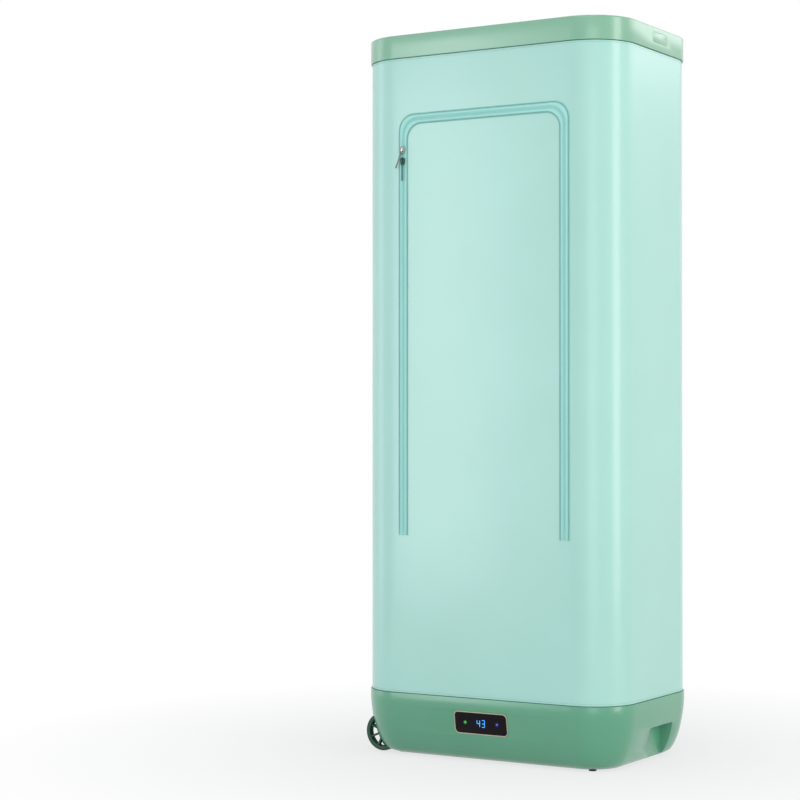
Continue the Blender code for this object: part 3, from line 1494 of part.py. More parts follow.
def make_slider(height, name, finish):
    """A shield-shaped plate with a bridge that holds the pull tab's eye."""
    half, neck, end = SLIDER_WIDTH / 2, SLIDER_NECK / 2, SLIDER_LENGTH / 2
    top, shoulder = half * SLIDER_SHOULDER_SHARE, end * SLIDER_SHOULDER_SHARE
    shield = [
        Vector((-neck, -end)),
        Vector((neck, -end)),
        Vector((half, 0)),
        Vector((half, shoulder)),
        Vector((top, end)),
        Vector((-top, end)),
        Vector((-half, shoulder)),
        Vector((-half, 0)),
    ]
    body = prism(shield, -SLIDER_PLATE, 0, along_y)
    rise = SLIDER_PLATE + SLIDER_BRIDGE
    bar, foot = SLIDER_BRIDGE_BAR, end * SLIDER_BRIDGE_SHARE
    bridge = [
        Vector((-SLIDER_PLATE / 2, -foot)),
        Vector((-rise + bar, -foot)),
        Vector((-rise, -foot + bar)),
        Vector((-rise, foot - bar)),
        Vector((-rise + bar, foot)),
        Vector((-SLIDER_PLATE / 2, foot)),
        Vector((-SLIDER_PLATE / 2, foot - bar)),
        Vector((-rise + bar, foot - bar)),
        Vector((-rise + bar, -foot + bar)),
        Vector((-SLIDER_PLATE / 2, -foot + bar)),
    ]
    half_bar = SLIDER_BRIDGE_WIDTH / 2
    join(body, prism(bridge, -half_bar, half_bar, along_x))
    place = slider_place(height)
    shift(body, place)
    return deliver(body, name, finish, origin=place)


def tab_axis(height):
    """The pull tab turns on its crown, between the slider's plate and the bridge, near its lower foot."""
    room = (SLIDER_BRIDGE - SLIDER_BRIDGE_BAR) / 2
    foot = SLIDER_BRIDGE_BAR - SLIDER_LENGTH / 2 * SLIDER_BRIDGE_SHARE
    return slider_place(height) + Vector((0, -SLIDER_PLATE - room, foot + TAB_PLAY))


def make_pull_tab(height, lean, name, finish):
    """A thin tab with an eye for the bridge. The bar above the eye is what the tab turns on."""
    head, half, crown = TAB_HEAD_WIDTH / 2, TAB_WIDTH / 2, TAB_CROWN / 2
    neck = -crown - TAB_EYE_LENGTH - TAB_CROWN
    outline = [
        Vector((-half, -TAB_LENGTH)),
        Vector((half, -TAB_LENGTH)),
        Vector((half, neck - TAB_SHOULDER)),
        Vector((head, neck)),
        Vector((head, 0)),
        Vector((head - crown, crown)),
        Vector((crown - head, crown)),
        Vector((-head, 0)),
        Vector((-head, neck)),
        Vector((-half, neck - TAB_SHOULDER)),
    ]
    tab = prism(outline, -TAB_THICKNESS / 2, TAB_THICKNESS / 2, along_y)
    low, high = -crown - TAB_EYE_LENGTH, -crown
    eye = box_outline((-TAB_EYE_WIDTH / 2, low), (TAB_EYE_WIDTH / 2, high))
    cut(tab, prism(eye, -OVERRUN, OVERRUN, along_y))
    turn(tab, lean, "Y")
    place = tab_axis(height)
    shift(tab, place)
    return deliver(tab, name, finish, origin=place)


def build():
    clear_scene()
    make_base_shell(base_plastic())
    make_deck(deck_plastic())
    make_base_hem_ring(inner_plastic())
    for place, (x, y) in foot_places().items():
        make_foot(x, y, f"foot_{place}", foot_rubber())
    for side, place in ((-1, "front"), (1, "rear")):
        make_wheel(side, f"wheel_{place}", wheel_plastic())
        make_axle(side, f"wheel_axle_{place}", bright_steel())
        make_hanging_rod(side, f"hanging_rod_{place}", pole_steel())
    make_display()
    make_intake_grille(base_plastic())
    make_power_inlet(inner_plastic())
    make_scroll(inner_plastic())
    make_motor(bright_steel())
    make_impeller(inner_plastic())
    make_duct(inner_plastic())
    make_heater(heater_aluminium())
    make_outlet_grille(deck_plastic())
    make_keeper(bright_steel())
    make_latch_button(lid_plastic())
    make_lid_shell(lid_plastic())
    make_lid_panel(lid_plastic())
    make_lid_hem_ring(inner_plastic())
    for side, place in ((-1, "left"), (1, "right")):
        make_bracket(side, f"rod_bracket_{place}", pole_steel())
        for number in range(1, POLE_TUBES + 1):
            make_pole_tube(side, number, f"pole_{place}_{number:02d}", pole_steel())
    make_cover(cover_fabric())
    make_zip_chain(zip_fabric())
    make_slider(UPPER_SLIDER_Z, "zip_slider_upper", zip_metal())
    make_slider(LOWER_SLIDER_Z, "zip_slider_lower", zip_metal())
    make_pull_tab(UPPER_SLIDER_Z, UPPER_TAB_LEAN, "pull_tab_upper", zip_metal())
    make_pull_tab(LOWER_SLIDER_Z, 0, "pull_tab_lower", zip_metal())


build()
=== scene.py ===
# %% [markdown]
# # A clothes dryer that folds into a suitcase
# A shallow tub holds a blower and a heater. Two telescopic poles lift a lid above it, and a zipped
# fabric cover hangs between the two. With the poles pushed in, the lid lands on the tub and the
# whole thing is carried like a case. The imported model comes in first, as a frame that never moves:
# every piece made below is laid over it in the same metres, and rides on one of its bodies.

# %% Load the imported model
import contextlib
import math

import bmesh
import bpy
from mathutils import Matrix, Vector


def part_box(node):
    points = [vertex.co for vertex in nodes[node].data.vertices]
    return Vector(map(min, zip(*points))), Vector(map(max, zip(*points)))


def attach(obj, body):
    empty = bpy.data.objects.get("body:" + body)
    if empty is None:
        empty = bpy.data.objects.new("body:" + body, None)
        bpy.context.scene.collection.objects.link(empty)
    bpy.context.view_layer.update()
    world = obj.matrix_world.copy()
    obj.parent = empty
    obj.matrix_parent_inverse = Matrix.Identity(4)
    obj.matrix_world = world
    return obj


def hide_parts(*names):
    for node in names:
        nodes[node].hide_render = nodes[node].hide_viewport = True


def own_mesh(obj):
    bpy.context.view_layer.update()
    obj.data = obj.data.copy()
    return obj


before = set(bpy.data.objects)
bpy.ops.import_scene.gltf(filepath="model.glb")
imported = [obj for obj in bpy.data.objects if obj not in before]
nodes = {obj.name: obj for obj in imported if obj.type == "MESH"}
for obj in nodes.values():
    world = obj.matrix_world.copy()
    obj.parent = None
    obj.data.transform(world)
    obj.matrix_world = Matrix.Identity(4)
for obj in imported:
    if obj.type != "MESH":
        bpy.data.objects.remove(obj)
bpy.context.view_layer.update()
base_low, base_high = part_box("base_shell")
lid_low, lid_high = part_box("lid_shell")

# %% [markdown]
# ## Camera
# The picture was taken from a little below the middle of the raised dryer, turned to its right,
# with a long lens. A long lens keeps the upright edges parallel, so the camera stands more than
# three metres away. It looks up by half a degree, and the dryer stands right of the view's middle.

# %% Camera
CAMERA_PLACE = (1.7051, -3.2050, 0.5742)
CAMERA_TURN = math.radians(31.496)
CAMERA_TILT = math.radians(90.575)
CAMERA_LENS = 93.65
bpy.ops.object.select_all(action="DESELECT")
bpy.ops.object.camera_add(location=CAMERA_PLACE, rotation=(CAMERA_TILT, 0, CAMERA_TURN))
camera = bpy.context.object
camera.name = "camera"
camera.data.sensor_width = 36
camera.data.lens = CAMERA_LENS
camera.data.clip_end = 100
bpy.context.scene.camera = camera
print("camera", round(math.dist(CAMERA_PLACE, (0, 0, 0.6)), 2), "m from the dryer")

# %% [markdown]
# ## Node maths in plain Python
# A shader is a graph of small nodes, and typing them out one by one hides the idea. A wrapper round
# a socket lets a mask be written as `1 - grain * 0.2`: each sign adds its own Math node. Every
# other node comes from one method, which sets the node's own options first and then its sockets.


# %% Sockets that can be added and multiplied
class Signal:
    """An output socket that Python signs can work on."""

    def __init__(self, graph, socket):
        self.graph, self.socket = graph, socket

    def maths(self, operation, *values):
        return self.graph.node("Math", {"operation": operation}, dict(enumerate(values)))

    def __add__(self, other):
        return self.maths("ADD", self, other)

    def __sub__(self, other):
        return self.maths("SUBTRACT", self, other)

    def __rsub__(self, other):
        return self.maths("SUBTRACT", other, self)

    def __mul__(self, other):
        return self.maths("MULTIPLY", self, other)

    def __pow__(self, other):
        return self.maths("POWER", self, other)

    def __gt__(self, other):
        return self.maths("GREATER_THAN", self, other)

    __radd__ = __add__
    __rmul__ = __mul__


class Graph:
    """A node tree, and one way to add a node to it."""

    def __init__(self, tree):
        self.tree = tree

    def set(self, node, sockets):
        for key, value in sockets.items():
            if isinstance(value, Signal):
                self.tree.links.new(value.socket, node.inputs[key])
            else:
                node.inputs[key].default_value = value

    def node(self, kind, settings=None, sockets=None, output=0):
        made = self.tree.nodes.new("ShaderNode" + kind)
        for key, value in (settings or {}).items():
            setattr(made, key, value)
        self.set(made, sockets or {})
        return Signal(self, made.outputs[output])


print("signs that work on sockets:", "+ - * ** >")


# %% A material under construction
class Finish(Graph):
    """A material with its shader, and the patterns that it is made of."""

    def __init__(self, name, colour, roughness, **sockets):
        self.material = bpy.data.materials.new(name)
        self.material.use_nodes = True
        self.material.diffuse_color = linear(colour)
        super().__init__(self.material.node_tree)
        self.shader = self.tree.nodes["Principled BSDF"]
        self.shade(Base_Color=linear(colour), Roughness=roughness, **sockets)

    def shade(self, **sockets):
        """Sets the shader's sockets. An underscore stands for the space in a socket's name."""
        self.set(self.shader, {key.replace("_", " "): value for key, value in sockets.items()})

    def noise(self, scale, detail=2.0, stretch=(1, 1, 1), rough=0.5):
        """Noise on object coordinates, closer together along an axis that is stretched."""
        spot = self.node("TexCoord", output="Object")
        place = self.node("Mapping", sockets={"Vector": spot, "Scale": stretch})
        sockets = {"Vector": place, "Scale": scale, "Detail": detail, "Roughness": rough}
        return self.node("TexNoise", sockets=sockets)

    def blend(self, factor, first, second):
        """A colour between two, both as seen on a screen."""
        tones = [tone if isinstance(tone, Signal) else linear(tone) for tone in (first, second)]
        sockets = dict(zip((0, 6, 7), (factor, *tones)))
        return self.node("Mix", {"data_type": "RGBA"}, sockets, output=2)

    def bump(self, height, depth, strength):
        """Small relief, its depth in metres."""
        sockets = {"Height": height, "Distance": depth, "Strength": strength}
        self.shade(Normal=self.node("Bump", sockets=sockets))


def linear(colour):
    """A colour as a screen shows it, 0 to 255, as the light that it stands for."""
    shares = [value / 255 for value in colour]
    light = [((s + 0.055) / 1.055) ** 2.4 if s > 0.04045 else s / 12.92 for s in shares]
    return (*light, 1.0)


def toned(colour, share):
    """A colour made darker or paler by a share."""
    return tuple(min(255, value * share) for value in colour)


print("a mid grey of 128 gives off", round(linear((128,) * 3)[0], 3), "of the light")

# %% [markdown]
# ## Moulded plastic
# The tub and the lid are injection moulded in a soft green. A mould is sandblasted, so the plastic
# has a grain of about a third of a millimetre that softens its shine, and the colour wanders a
# little where the melt flowed. Grain is a Bump on noise. A slower noise moves the roughness, as
# hands and floors polish a case unevenly. A coat gives the two large mouldings their broad sheen.


# %% Moulded plastic
def moulded_plastic(name, colour, roughness, grain=0.00003, worn=0.06, shade=0.05, **sockets):
    made = Finish(name, colour, roughness, **sockets)
    drift = made.noise(7, 3)
    scuffs = made.noise(60, 5, stretch=(1, 1, 3), rough=0.7)
    made.shade(
        Base_Color=made.blend(drift, toned(colour, 1 - shade), toned(colour, 1 + shade / 2)),
        Roughness=scuffs * worn + (roughness - worn / 2),
    )
    made.bump(made.noise(2600, 2), grain, 0.35)
    return made.material


GLOSS = {"Coat_Weight": 0.7, "Coat_Roughness": 0.24}
base_green = moulded_plastic("base_green", (88, 162, 129), 0.34, worn=0.04, **GLOSS)
lid_green = moulded_plastic("lid_green", (131, 187, 158), 0.30, 0.00002, 0.02, 0.03, **GLOSS)
wheel_green = moulded_plastic("wheel_green", (20, 66, 50), 0.42)
deck_grey = moulded_plastic("deck_grey", (172, 186, 178), 0.48)
machine_grey = moulded_plastic("machine_grey", (148, 151, 151), 0.52)
foot_rubber = moulded_plastic("foot_rubber", (30, 31, 31), 0.72, grain=0.00008)
print("five plastics and a rubber")

# %% [markdown]
# ## Cloth
# The cover is a coated plain-woven cloth, pale mint and almost smooth at a distance. Its weave runs
# round the case and up it, so its pattern reads a UV map with one unit per metre of cloth and not
# the object's own axes, which would smear round the corners. Crossing two waves gives the over and
# under of the threads, and their product is both the relief and a faint change of tone.


# %% Woven cloth
def woven_cloth(name, colour, thread, relief, roughness=0.62, tone=0.035, **sockets):
    made = Finish(name, colour, roughness, **sockets)
    turns = math.tau / 20 / thread
    spread = {"Vector": made.node("UVMap", {"uv_map": "cloth"}), "Scale": turns, "Distortion": 0.2}
    bands = {"wave_type": "BANDS", "wave_profile": "SIN"}
    over, under = (made.node("TexWave", {**bands, "bands_direction": way}, spread) for way in "XY")
    weave = over * under
    drift = made.noise(5, 2) * 0.6 + weave * 0.4
    made.shade(
        Base_Color=made.blend(drift, toned(colour, 1 - tone), toned(colour, 1 + tone)),
        Roughness=weave * 0.08 + (roughness - 0.04),
    )
    made.bump(weave, relief, 0.5)
    return made.material


SATIN = {"Coat_Weight": 0.65, "Coat_Roughness": 0.21}
cover_cloth = woven_cloth("cover_cloth", (174, 224, 214), 0.0011, 0.00004, 0.5, **SATIN)
tape_cloth = woven_cloth("tape_cloth", (176, 234, 227), 0.0008, 0.00006)
print("two cloths")


# %% Thread and coil
def spun_thread(name, colour, roughness=0.7):
    made = Finish(name, colour, roughness)
    twist = made.noise(1800, 2, stretch=(1, 1, 0.3))
    made.shade(Base_Color=made.blend(twist, toned(colour, 0.85), colour))
    made.bump(twist, 0.00005, 0.4)
    return made.material


stitch_thread = spun_thread("stitch_thread", (132, 198, 190))
# This dark thread paints the shadow in the groove along each edge of the zip tape.
edge_shadow_thread = spun_thread("edge_shadow_thread", (106, 176, 166))
coil_nylon = spun_thread("coil_nylon", (172, 236, 229), 0.35)
# This dark thread paints the shadow in the gap where the cloth meets the tub and the lid.
gap_shadow_thread = spun_thread("gap_shadow_thread", (44, 104, 88))
print("three threads and the coil's nylon")

# %% [markdown]
# ## Metal
# The poles, rods and zip sliders are plated steel, the display's rim is pale anodised aluminium.
# Drawn tube carries fine scratches along its length. Stretching the noise along one axis turns
# round specks into such scratches.


# %% Metals
def drawn_metal(name, colour, roughness, stretch=(6, 6, 0.25), scratch=0.10, metallic=1.0):
    made = Finish(name, colour, roughness, Metallic=metallic)
    lines = made.noise(900, 3, stretch=stretch, rough=0.6)
    smudge = made.noise(25, 3)
    made.shade(
        Base_Color=made.blend(smudge, toned(colour, 0.9), colour),
        Roughness=lines * scratch + (roughness - scratch / 2),
    )
    made.bump(lines, 0.00001, 0.3)
    return made.material


pole_metal = drawn_metal("pole_metal", (214, 216, 218), 0.26)
rod_metal = drawn_metal("rod_metal", (214, 216, 218), 0.22, stretch=(0.25, 6, 6))
small_metal = drawn_metal("small_metal", (190, 190, 190), 0.34, stretch=(1, 1, 1))
slider_metal = drawn_metal("slider_metal", (172, 178, 174), 0.20, stretch=(1, 1, 0.4))
dark_slider_metal = drawn_metal("dark_slider_metal", (62, 92, 86), 0.34, stretch=(1, 1, 0.4))
tab_metal = drawn_metal("tab_metal", (96, 104, 98), 0.36, stretch=(1, 1, 0.4))
bezel_metal = drawn_metal("bezel_metal", (184, 184, 158), 0.36, (0.4, 4, 4), 0.06, 0.6)
heater_metal = drawn_metal("heater_metal", (200, 200, 200), 0.42, stretch=(1, 4, 1))
print("eight metals")

# %% [markdown]
# ## Glass, lights and board
# The display is a dark pane with lights behind it. A lit lens glows deeper towards its rim, and its
# colour follows the distance from one spot, where it is palest. On a key that pale spot, high on the
# dome, is a painted highlight. The board behind is green varnish, with paler tracks wherever a noise
# rises above a step.


# %% Display glass, its lights and the board behind
def dark_glass(name):
    made = Finish(name, (22, 14, 20), 0.09, Specular_IOR_Level=0.12)
    haze = made.noise(35, 3)
    tone = made.blend(haze, (18, 11, 17), (27, 18, 25))
    made.shade(Base_Color=tone, Roughness=haze * 0.06 + 0.06)
    return made.material


def glowing(name, tones, power, centre, radius):
    """A lens lit from behind, deeper to its rim; on a key its pale centre is a painted highlight."""
    core_and_painted_glint, middle, edge = tones
    made = Finish(name, edge, 0.16, Emission_Strength=power, Specular_IOR_Level=0.25)
    spot = made.node("TexCoord", output="Object")
    away = made.node("VectorMath", {"operation": "DISTANCE"}, {0: spot, 1: centre}, output="Value")
    falling = {"Value": away, "From Max": radius, "To Min": 1.0, "To Max": 0.0}
    near = made.node("MapRange", sockets=falling)
    grain = made.noise(1500, 2) * 0.15
    lit = made.blend((near - grain) ** 0.7, edge, middle)
    # Near the centre the glow turns to the palest tone: on a key this is a painted highlight.
    made.shade(Emission_Color=made.blend(near**5, lit, core_and_painted_glint))
    made.shade(Base_Color=made.blend(grain * near, edge, middle))
    return made.material


def circuit_board(name):
    made = Finish(name, (20, 92, 60), 0.5)
    tracks = made.noise(220, 1, stretch=(1, 1, 4)) > 0.52
    made.shade(Base_Color=made.blend(tracks, (16, 78, 50), (44, 128, 80)))
    return made.material


display_black = dark_glass("display_black")
board_green = circuit_board("board_green")
print("glass and board")

# %% [markdown]
# ## Modelling by hand, from a script
# Everything below is done with the tools of edit mode: a primitive at its size and place, then
# bevel, inset, extrude. Those tools act on what is selected, so a small helper selects faces or
# edges by where they are and which way they point, the way a hand would pick them.


# %% Helpers for whole pieces
def only(piece):
    bpy.ops.object.select_all(action="DESELECT")
    piece.select_set(True)
    bpy.context.view_layer.objects.active = piece


def settled(piece, place=None):
    """Takes the piece's place into its mesh, after moving it there if a matrix says where."""
    if place is not None:
        piece.matrix_world = place
    only(piece)
    bpy.ops.object.transform_apply(location=True, rotation=True, scale=True)
    return piece


def added(name, size=None):
    """The primitive that was just added, with its place and size taken into its mesh."""
    piece = bpy.context.object
    piece.name = piece.data.name = name
    if size:
        piece.scale = size
    return settled(piece)


def block(name, low, high):
    bpy.ops.object.select_all(action="DESELECT")
    low, high = Vector(low), Vector(high)
    bpy.ops.mesh.primitive_cube_add(size=1, location=(low + high) / 2, scale=high - low)
    return added(name)


def pin(name, centre, radius, length, steps):
    """A round pin along Y."""
    upright = {"location": centre, "rotation": (math.pi / 2, 0, 0)}
    bpy.ops.object.select_all(action="DESELECT")
    bpy.ops.mesh.primitive_cylinder_add(vertices=steps, radius=radius, depth=length, **upright)
    return added(name)


def copied(piece, name, place):
    """A copy with a mesh of its own, moved by a matrix."""
    only(piece)
    bpy.ops.object.duplicate()
    twin = bpy.context.object
    twin.name = twin.data.name = name
    return settled(twin, place)


def joined(first, *others):
    only(first)
    for other in others:
        other.select_set(True)
    bpy.ops.object.join()
    return first


TO_THE_FRONT = Matrix.Rotation(math.pi / 2, 4, "X")
print("what looks up looks to", tuple(round(x) for x in TO_THE_FRONT @ Vector((0, 0, 1))), "then")


# %% Helpers for edit mode
@contextlib.contextmanager
def editing(piece):
    only(piece)
    bpy.ops.object.mode_set(mode="EDIT")
    yield piece
    bpy.ops.object.mode_set(mode="OBJECT")


def choose(piece, kind, test):
    """Selects the vertices, edges or faces whose place and direction pass the test."""
    bpy.ops.mesh.select_mode(type=kind)
    bpy.ops.mesh.select_all(action="DESELECT")
    mesh = bmesh.from_edit_mesh(piece.data)
    for face in mesh.faces if kind == "FACE" else ():
        face.select_set(test(face.calc_center_median(), face.normal))
    for edge in mesh.edges if kind == "EDGE" else ():
        one, other = (vertex.co for vertex in edge.verts)
        if test((one + other) / 2, (other - one).normalized()):
            edge.select_set(True)
    for vertex in mesh.verts if kind == "VERT" else ():
        if test(vertex.co, vertex.normal):
            vertex.select_set(True)
    bmesh.update_edit_mesh(piece.data)


def aligned(axis):
    """The test for an edge that runs along an axis, or a face that looks along it."""
    return lambda centre, way: abs(way["xyz".index(axis)]) > 0.9


def looks_down(centre, normal):
    return normal.z < -0.9


def push(x, y, z):
    """Extrudes what is selected."""
    bpy.ops.mesh.extrude_region_move(TRANSFORM_OT_translate={"value": (x, y, z)})


def rounded_block(name, low, high, axis, corner, segments):
    """A block whose edges along one axis are rounded."""
    piece = block(name, low, high)
    with editing(piece):
        choose(piece, "EDGE", aligned(axis))
        bpy.ops.mesh.bevel(offset=corner, segments=segments, affect="EDGES")
    return piece


print("an edge along z passes for z:", aligned("z")(None, Vector((0, 0, 1))))


# %% Helpers that finish a piece
def apply(piece, kind, **settings):
    """One modifier, set and applied."""
    only(piece)
    step = piece.modifiers.new(kind.lower(), kind)
    for key, value in settings.items():
        setattr(step, key, value)
    bpy.ops.object.modifier_apply(modifier=step.name)
    return piece


def carve(piece, *tools, operation="DIFFERENCE"):
    for tool in tools:
        apply(piece, "BOOLEAN", solver="EXACT", operation=operation, object=tool)
        bpy.data.objects.remove(tool, do_unlink=True)
    return piece


def edges_broken(piece, width, segments=2, angle=35):
    """No moulded or turned edge is a knife edge: each gets a small round."""
    sharp = {"limit_method": "ANGLE", "angle_limit": math.radians(angle)}
    return apply(piece, "BEVEL", width=width, segments=segments, **sharp)


def finished(piece, body, material, replaced=(), smooth=32):
    """Shading, material, and the body that the piece rides on."""
    only(piece)
    bpy.ops.object.shade_smooth_by_angle(angle=math.radians(smooth))
    piece.data.materials.clear()
    piece.data.materials.append(material)
    for face in piece.data.polygons:
        face.material_index = 0
    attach(piece, body)
    if replaced:
        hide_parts(*replaced)
    print(piece.name, "has", len(piece.data.polygons), "faces")
    return piece


# %% [markdown]
# ## The case's outline
# Tub and lid share one outline: a rectangle whose four upright edges are rounded until the ends
# are nearly half circles. A block with its upright edges bevelled gives it. The bevel needs many
# segments, because a long soft highlight runs down each corner and shows every flat.

# %% The block that the tub, the lid and the cover start from
CASE_WIDTH = base_high.x - base_low.x
CASE_DEPTH = base_high.y - base_low.y
CASE_CORNER = 0.082
CORNER_SEGMENTS = 24


def case_block(name, inset, low, high):
    x, y = CASE_WIDTH / 2 - inset, CASE_DEPTH / 2 - inset
    corners = (-x, -y, low), (x, y, high)
    return rounded_block(name, *corners, "z", CASE_CORNER - inset, CORNER_SEGMENTS)


print("case", round(CASE_WIDTH, 3), "by", round(CASE_DEPTH, 3), "m")

# %% [markdown]
# ## Tub
# The tub's wall is upright at the rim, leans in a little so that it leaves its mould, and then
# curls under. The block for it is only as high as the upright band. Its bottom face is then inset
# ring by ring, each a little further in and further down, which draws the curl and keeps the wall
# parallel to the case's outline all the way round. The hollow is made the same way and taken out.

# %% Tub skin
RIM_HEIGHT = base_high.z
RIM_BAND = 0.014
CURL_START = 0.020
CURL_WIDTH = 0.026
CURL_STEPS = 14
DRAFT_SHARE = 0.076
TUB_WALL = 0.0022
TUB_FLOOR = 0.0025
NICK = 0.0004
tub_depth = RIM_HEIGHT - base_low.z


def wall_inset(height):
    """How far the wall stands in from the case's outline."""
    depth = RIM_HEIGHT - height
    curl = max(0.0, depth - CURL_START) / (tub_depth - CURL_START)
    draft = DRAFT_SHARE * max(0.0, depth - RIM_BAND)
    return draft + CURL_WIDTH * (1 - math.sqrt(max(0.0, 1 - curl**2)))


def tub_block(name, inset, top, bottom):
    """A solid with the tub's skin, moved in by the inset, from its top down to its bottom."""
    piece = case_block(name, inset, RIM_HEIGHT - RIM_BAND, top)
    curl = [math.sin(math.pi / 2 * step / CURL_STEPS) for step in range(CURL_STEPS + 1)]
    heights = [RIM_HEIGHT - CURL_START - (tub_depth - CURL_START) * share for share in curl]
    heights = [height for height in heights if height > bottom + TUB_WALL] + [bottom]
    with editing(piece):
        choose(piece, "FACE", looks_down)
        height = RIM_HEIGHT - RIM_BAND
        for lower in heights:
            inwards = wall_inset(lower) - wall_inset(height)
            bpy.ops.mesh.inset(thickness=inwards, depth=height - lower, use_even_offset=True)
            height = lower
    return piece


tub = tub_block("tub", 0, RIM_HEIGHT, base_low.z)
air = tub_block("air", TUB_WALL, RIM_HEIGHT + RIM_BAND, base_low.z + TUB_FLOOR)
print("skin with", len(tub.data.polygons), "faces")

# %% [markdown]
# ## Grip and wheel arches
# The end away from the wheels has a recess for the fingers. Its cheeks are upright, and its floor
# falls towards the far cheek and runs out at the bottom edge, so dust falls out. Each arch is a
# slot over its wheel, open downwards. A moulding has the same wall all round, so each shape is used
# twice: grown by the wall it is kept out of the hollow, and at its own size it is cut from outside.

# %% Grip recess
GRIP_NEAR_Y = -0.0265
GRIP_FAR_Y = 0.0650
GRIP_FOOT_Y = 0.0520
GRIP_TOP = 0.0620
GRIP_SHOULDER = 0.0385
GRIP_FOOT = 0.0045
GRIP_DEPTH = 0.028
GRIP_CORNER = 0.0050
OVERRUN = 0.010


def grip_tool(grow):
    """The recess as a block, moved outwards by a wall's thickness on every side."""
    back, front = base_high.x - GRIP_DEPTH - grow, base_high.x + OVERRUN
    near, far, top = GRIP_NEAR_Y - grow, GRIP_FAR_Y + grow, GRIP_TOP + grow
    run, fall = GRIP_FOOT_Y - GRIP_NEAR_Y, GRIP_SHOULDER - GRIP_FOOT
    shoulder = GRIP_SHOULDER - grow * (math.hypot(run, fall) - fall) / run

    def foot_of_the_near_cheek(centre, along):
        low = centre.y < near + NICK and centre.z < shoulder - fall / 2
        return low and abs(along.x) > 0.9

    def inner_upper_edge(centre, along):
        inner = centre.x < front - grow - TUB_WALL and abs(along.z) < 0.9
        return centre.z > GRIP_SHOULDER + grow and (inner or abs(along.x) > 0.9)

    piece = block("grip", (back, near, shoulder), (front, far, top))
    with editing(piece):
        choose(piece, "FACE", looks_down)
        push(0, 0, -fall)
        choose(piece, "EDGE", foot_of_the_near_cheek)
        bpy.ops.transform.translate(value=(0, run, 0))
        choose(piece, "FACE", looks_down)
        push(0, 0, -GRIP_FOOT - OVERRUN)
        choose(piece, "EDGE", inner_upper_edge)
        bpy.ops.mesh.bevel(offset=GRIP_CORNER, segments=5, affect="EDGES")
    return piece


# %% Wheel arches
wheel_low, wheel_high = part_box("wheel_front")
WHEEL_CENTRE = (wheel_low + wheel_high) / 2
ARCH_RADIUS = 0.0362
ARCH_HALF_WIDTH = 0.0090
ARCH_WALL = 0.0020


def wheel_place(side):
    return Vector((WHEEL_CENTRE.x, side * abs(WHEEL_CENTRE.y), WHEEL_CENTRE.z))


def arch_tool(side, grow):
    piece = pin("arch", wheel_place(side), ARCH_RADIUS + grow, 2 * (ARCH_HALF_WIDTH + grow), 64)
    with editing(piece):
        choose(piece, "FACE", lambda spot, normal: abs(normal.y) < 0.5 and normal.z < -0.02)
        push(0, 0, -ARCH_RADIUS - OVERRUN)
    return piece


# %% Hollow the tub and cut its openings
carve(air, grip_tool(TUB_WALL), arch_tool(-1, ARCH_WALL), arch_tool(1, ARCH_WALL))
carve(tub, air, grip_tool(0), arch_tool(-1, 0), arch_tool(1, 0))
print("hollow tub with", len(tub.data.polygons), "faces")

# %% [markdown]
# ## Windows in the wall
# The display leans with the front wall, and the air intake with the rear wall. What stands in such
# a wall is modelled upright at the origin, where it is easy to measure, and then leaned and moved
# into place by one matrix that both the cutting block and the fitted piece go through.

# %% Pieces that lean with the wall
FIT = 0.0003
SEATS = {
    "display_bezel": (0, math.radians(9.208), 0.0008),
    "intake_grille": (math.pi, math.radians(13.008), 0.0006),
    "power_inlet": (math.pi, 0.0, 0.0120),
}
DISPLAY_WIDTH, DISPLAY_HEIGHT, DISPLAY_CORNER = 0.102, 0.03951, 0.0085
INTAKE_WIDTH, INTAKE_HEIGHT, INTAKE_CORNER = 0.150, 0.03695, 0.0060
INLET_WIDTH, INLET_HEIGHT, INLET_CORNER = 0.030, 0.0170, 0.0040


def upright_plate(name, width, height, corner, near, far, segments=8):
    """A plate in the XZ plane with rounded corners, between two depths along Y."""
    corners = (-width / 2, near, -height / 2), (width / 2, far, height / 2)
    return rounded_block(name, *corners, "y", corner, segments)


def seat_matrix(node):
    """The turn, lean and place that take an upright piece to the node's seat in the wall."""
    turn, lean, depth = SEATS[node]
    turned = Matrix.Rotation(turn, 4, "Z") @ Matrix.Rotation(lean, 4, "X")
    low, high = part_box(node)
    return Matrix.Translation((low + high) / 2 - turned @ Vector((0, depth, 0))) @ turned


# %% Cut the windows and break the tub's edges
for node, width, height, corner in (
    ("display_bezel", DISPLAY_WIDTH, DISPLAY_HEIGHT, DISPLAY_CORNER),
    ("intake_grille", INTAKE_WIDTH, INTAKE_HEIGHT, INTAKE_CORNER),
    ("power_inlet", INLET_WIDTH, INLET_HEIGHT, INLET_CORNER),
):
    sizes = (width + 2 * FIT, height + 2 * FIT, corner + FIT)
    window = upright_plate("window", *sizes, -OVERRUN, OVERRUN)
    carve(tub, settled(window, seat_matrix(node)))
edges_broken(tub, 0.0004, 2, angle=42)
finished(tub, "base", base_green, ["base_shell"])

# %% [markdown]
# ## Lid
# The lid is a shallow tray turned over: an upright skirt, a fine round along its top edge and a
# recess on top for the faceted panel. It needs no Boolean for its hollow. The top face is inset and
# pushed down, and the bottom face is inset by the wall's thickness and pushed up.

# %% Lid shell
LID_EDGE = 0.0028
LID_RIM = 0.0110
LID_RECESS = 0.0040
LID_CEILING = 0.0025
LID_WALL = 0.0022

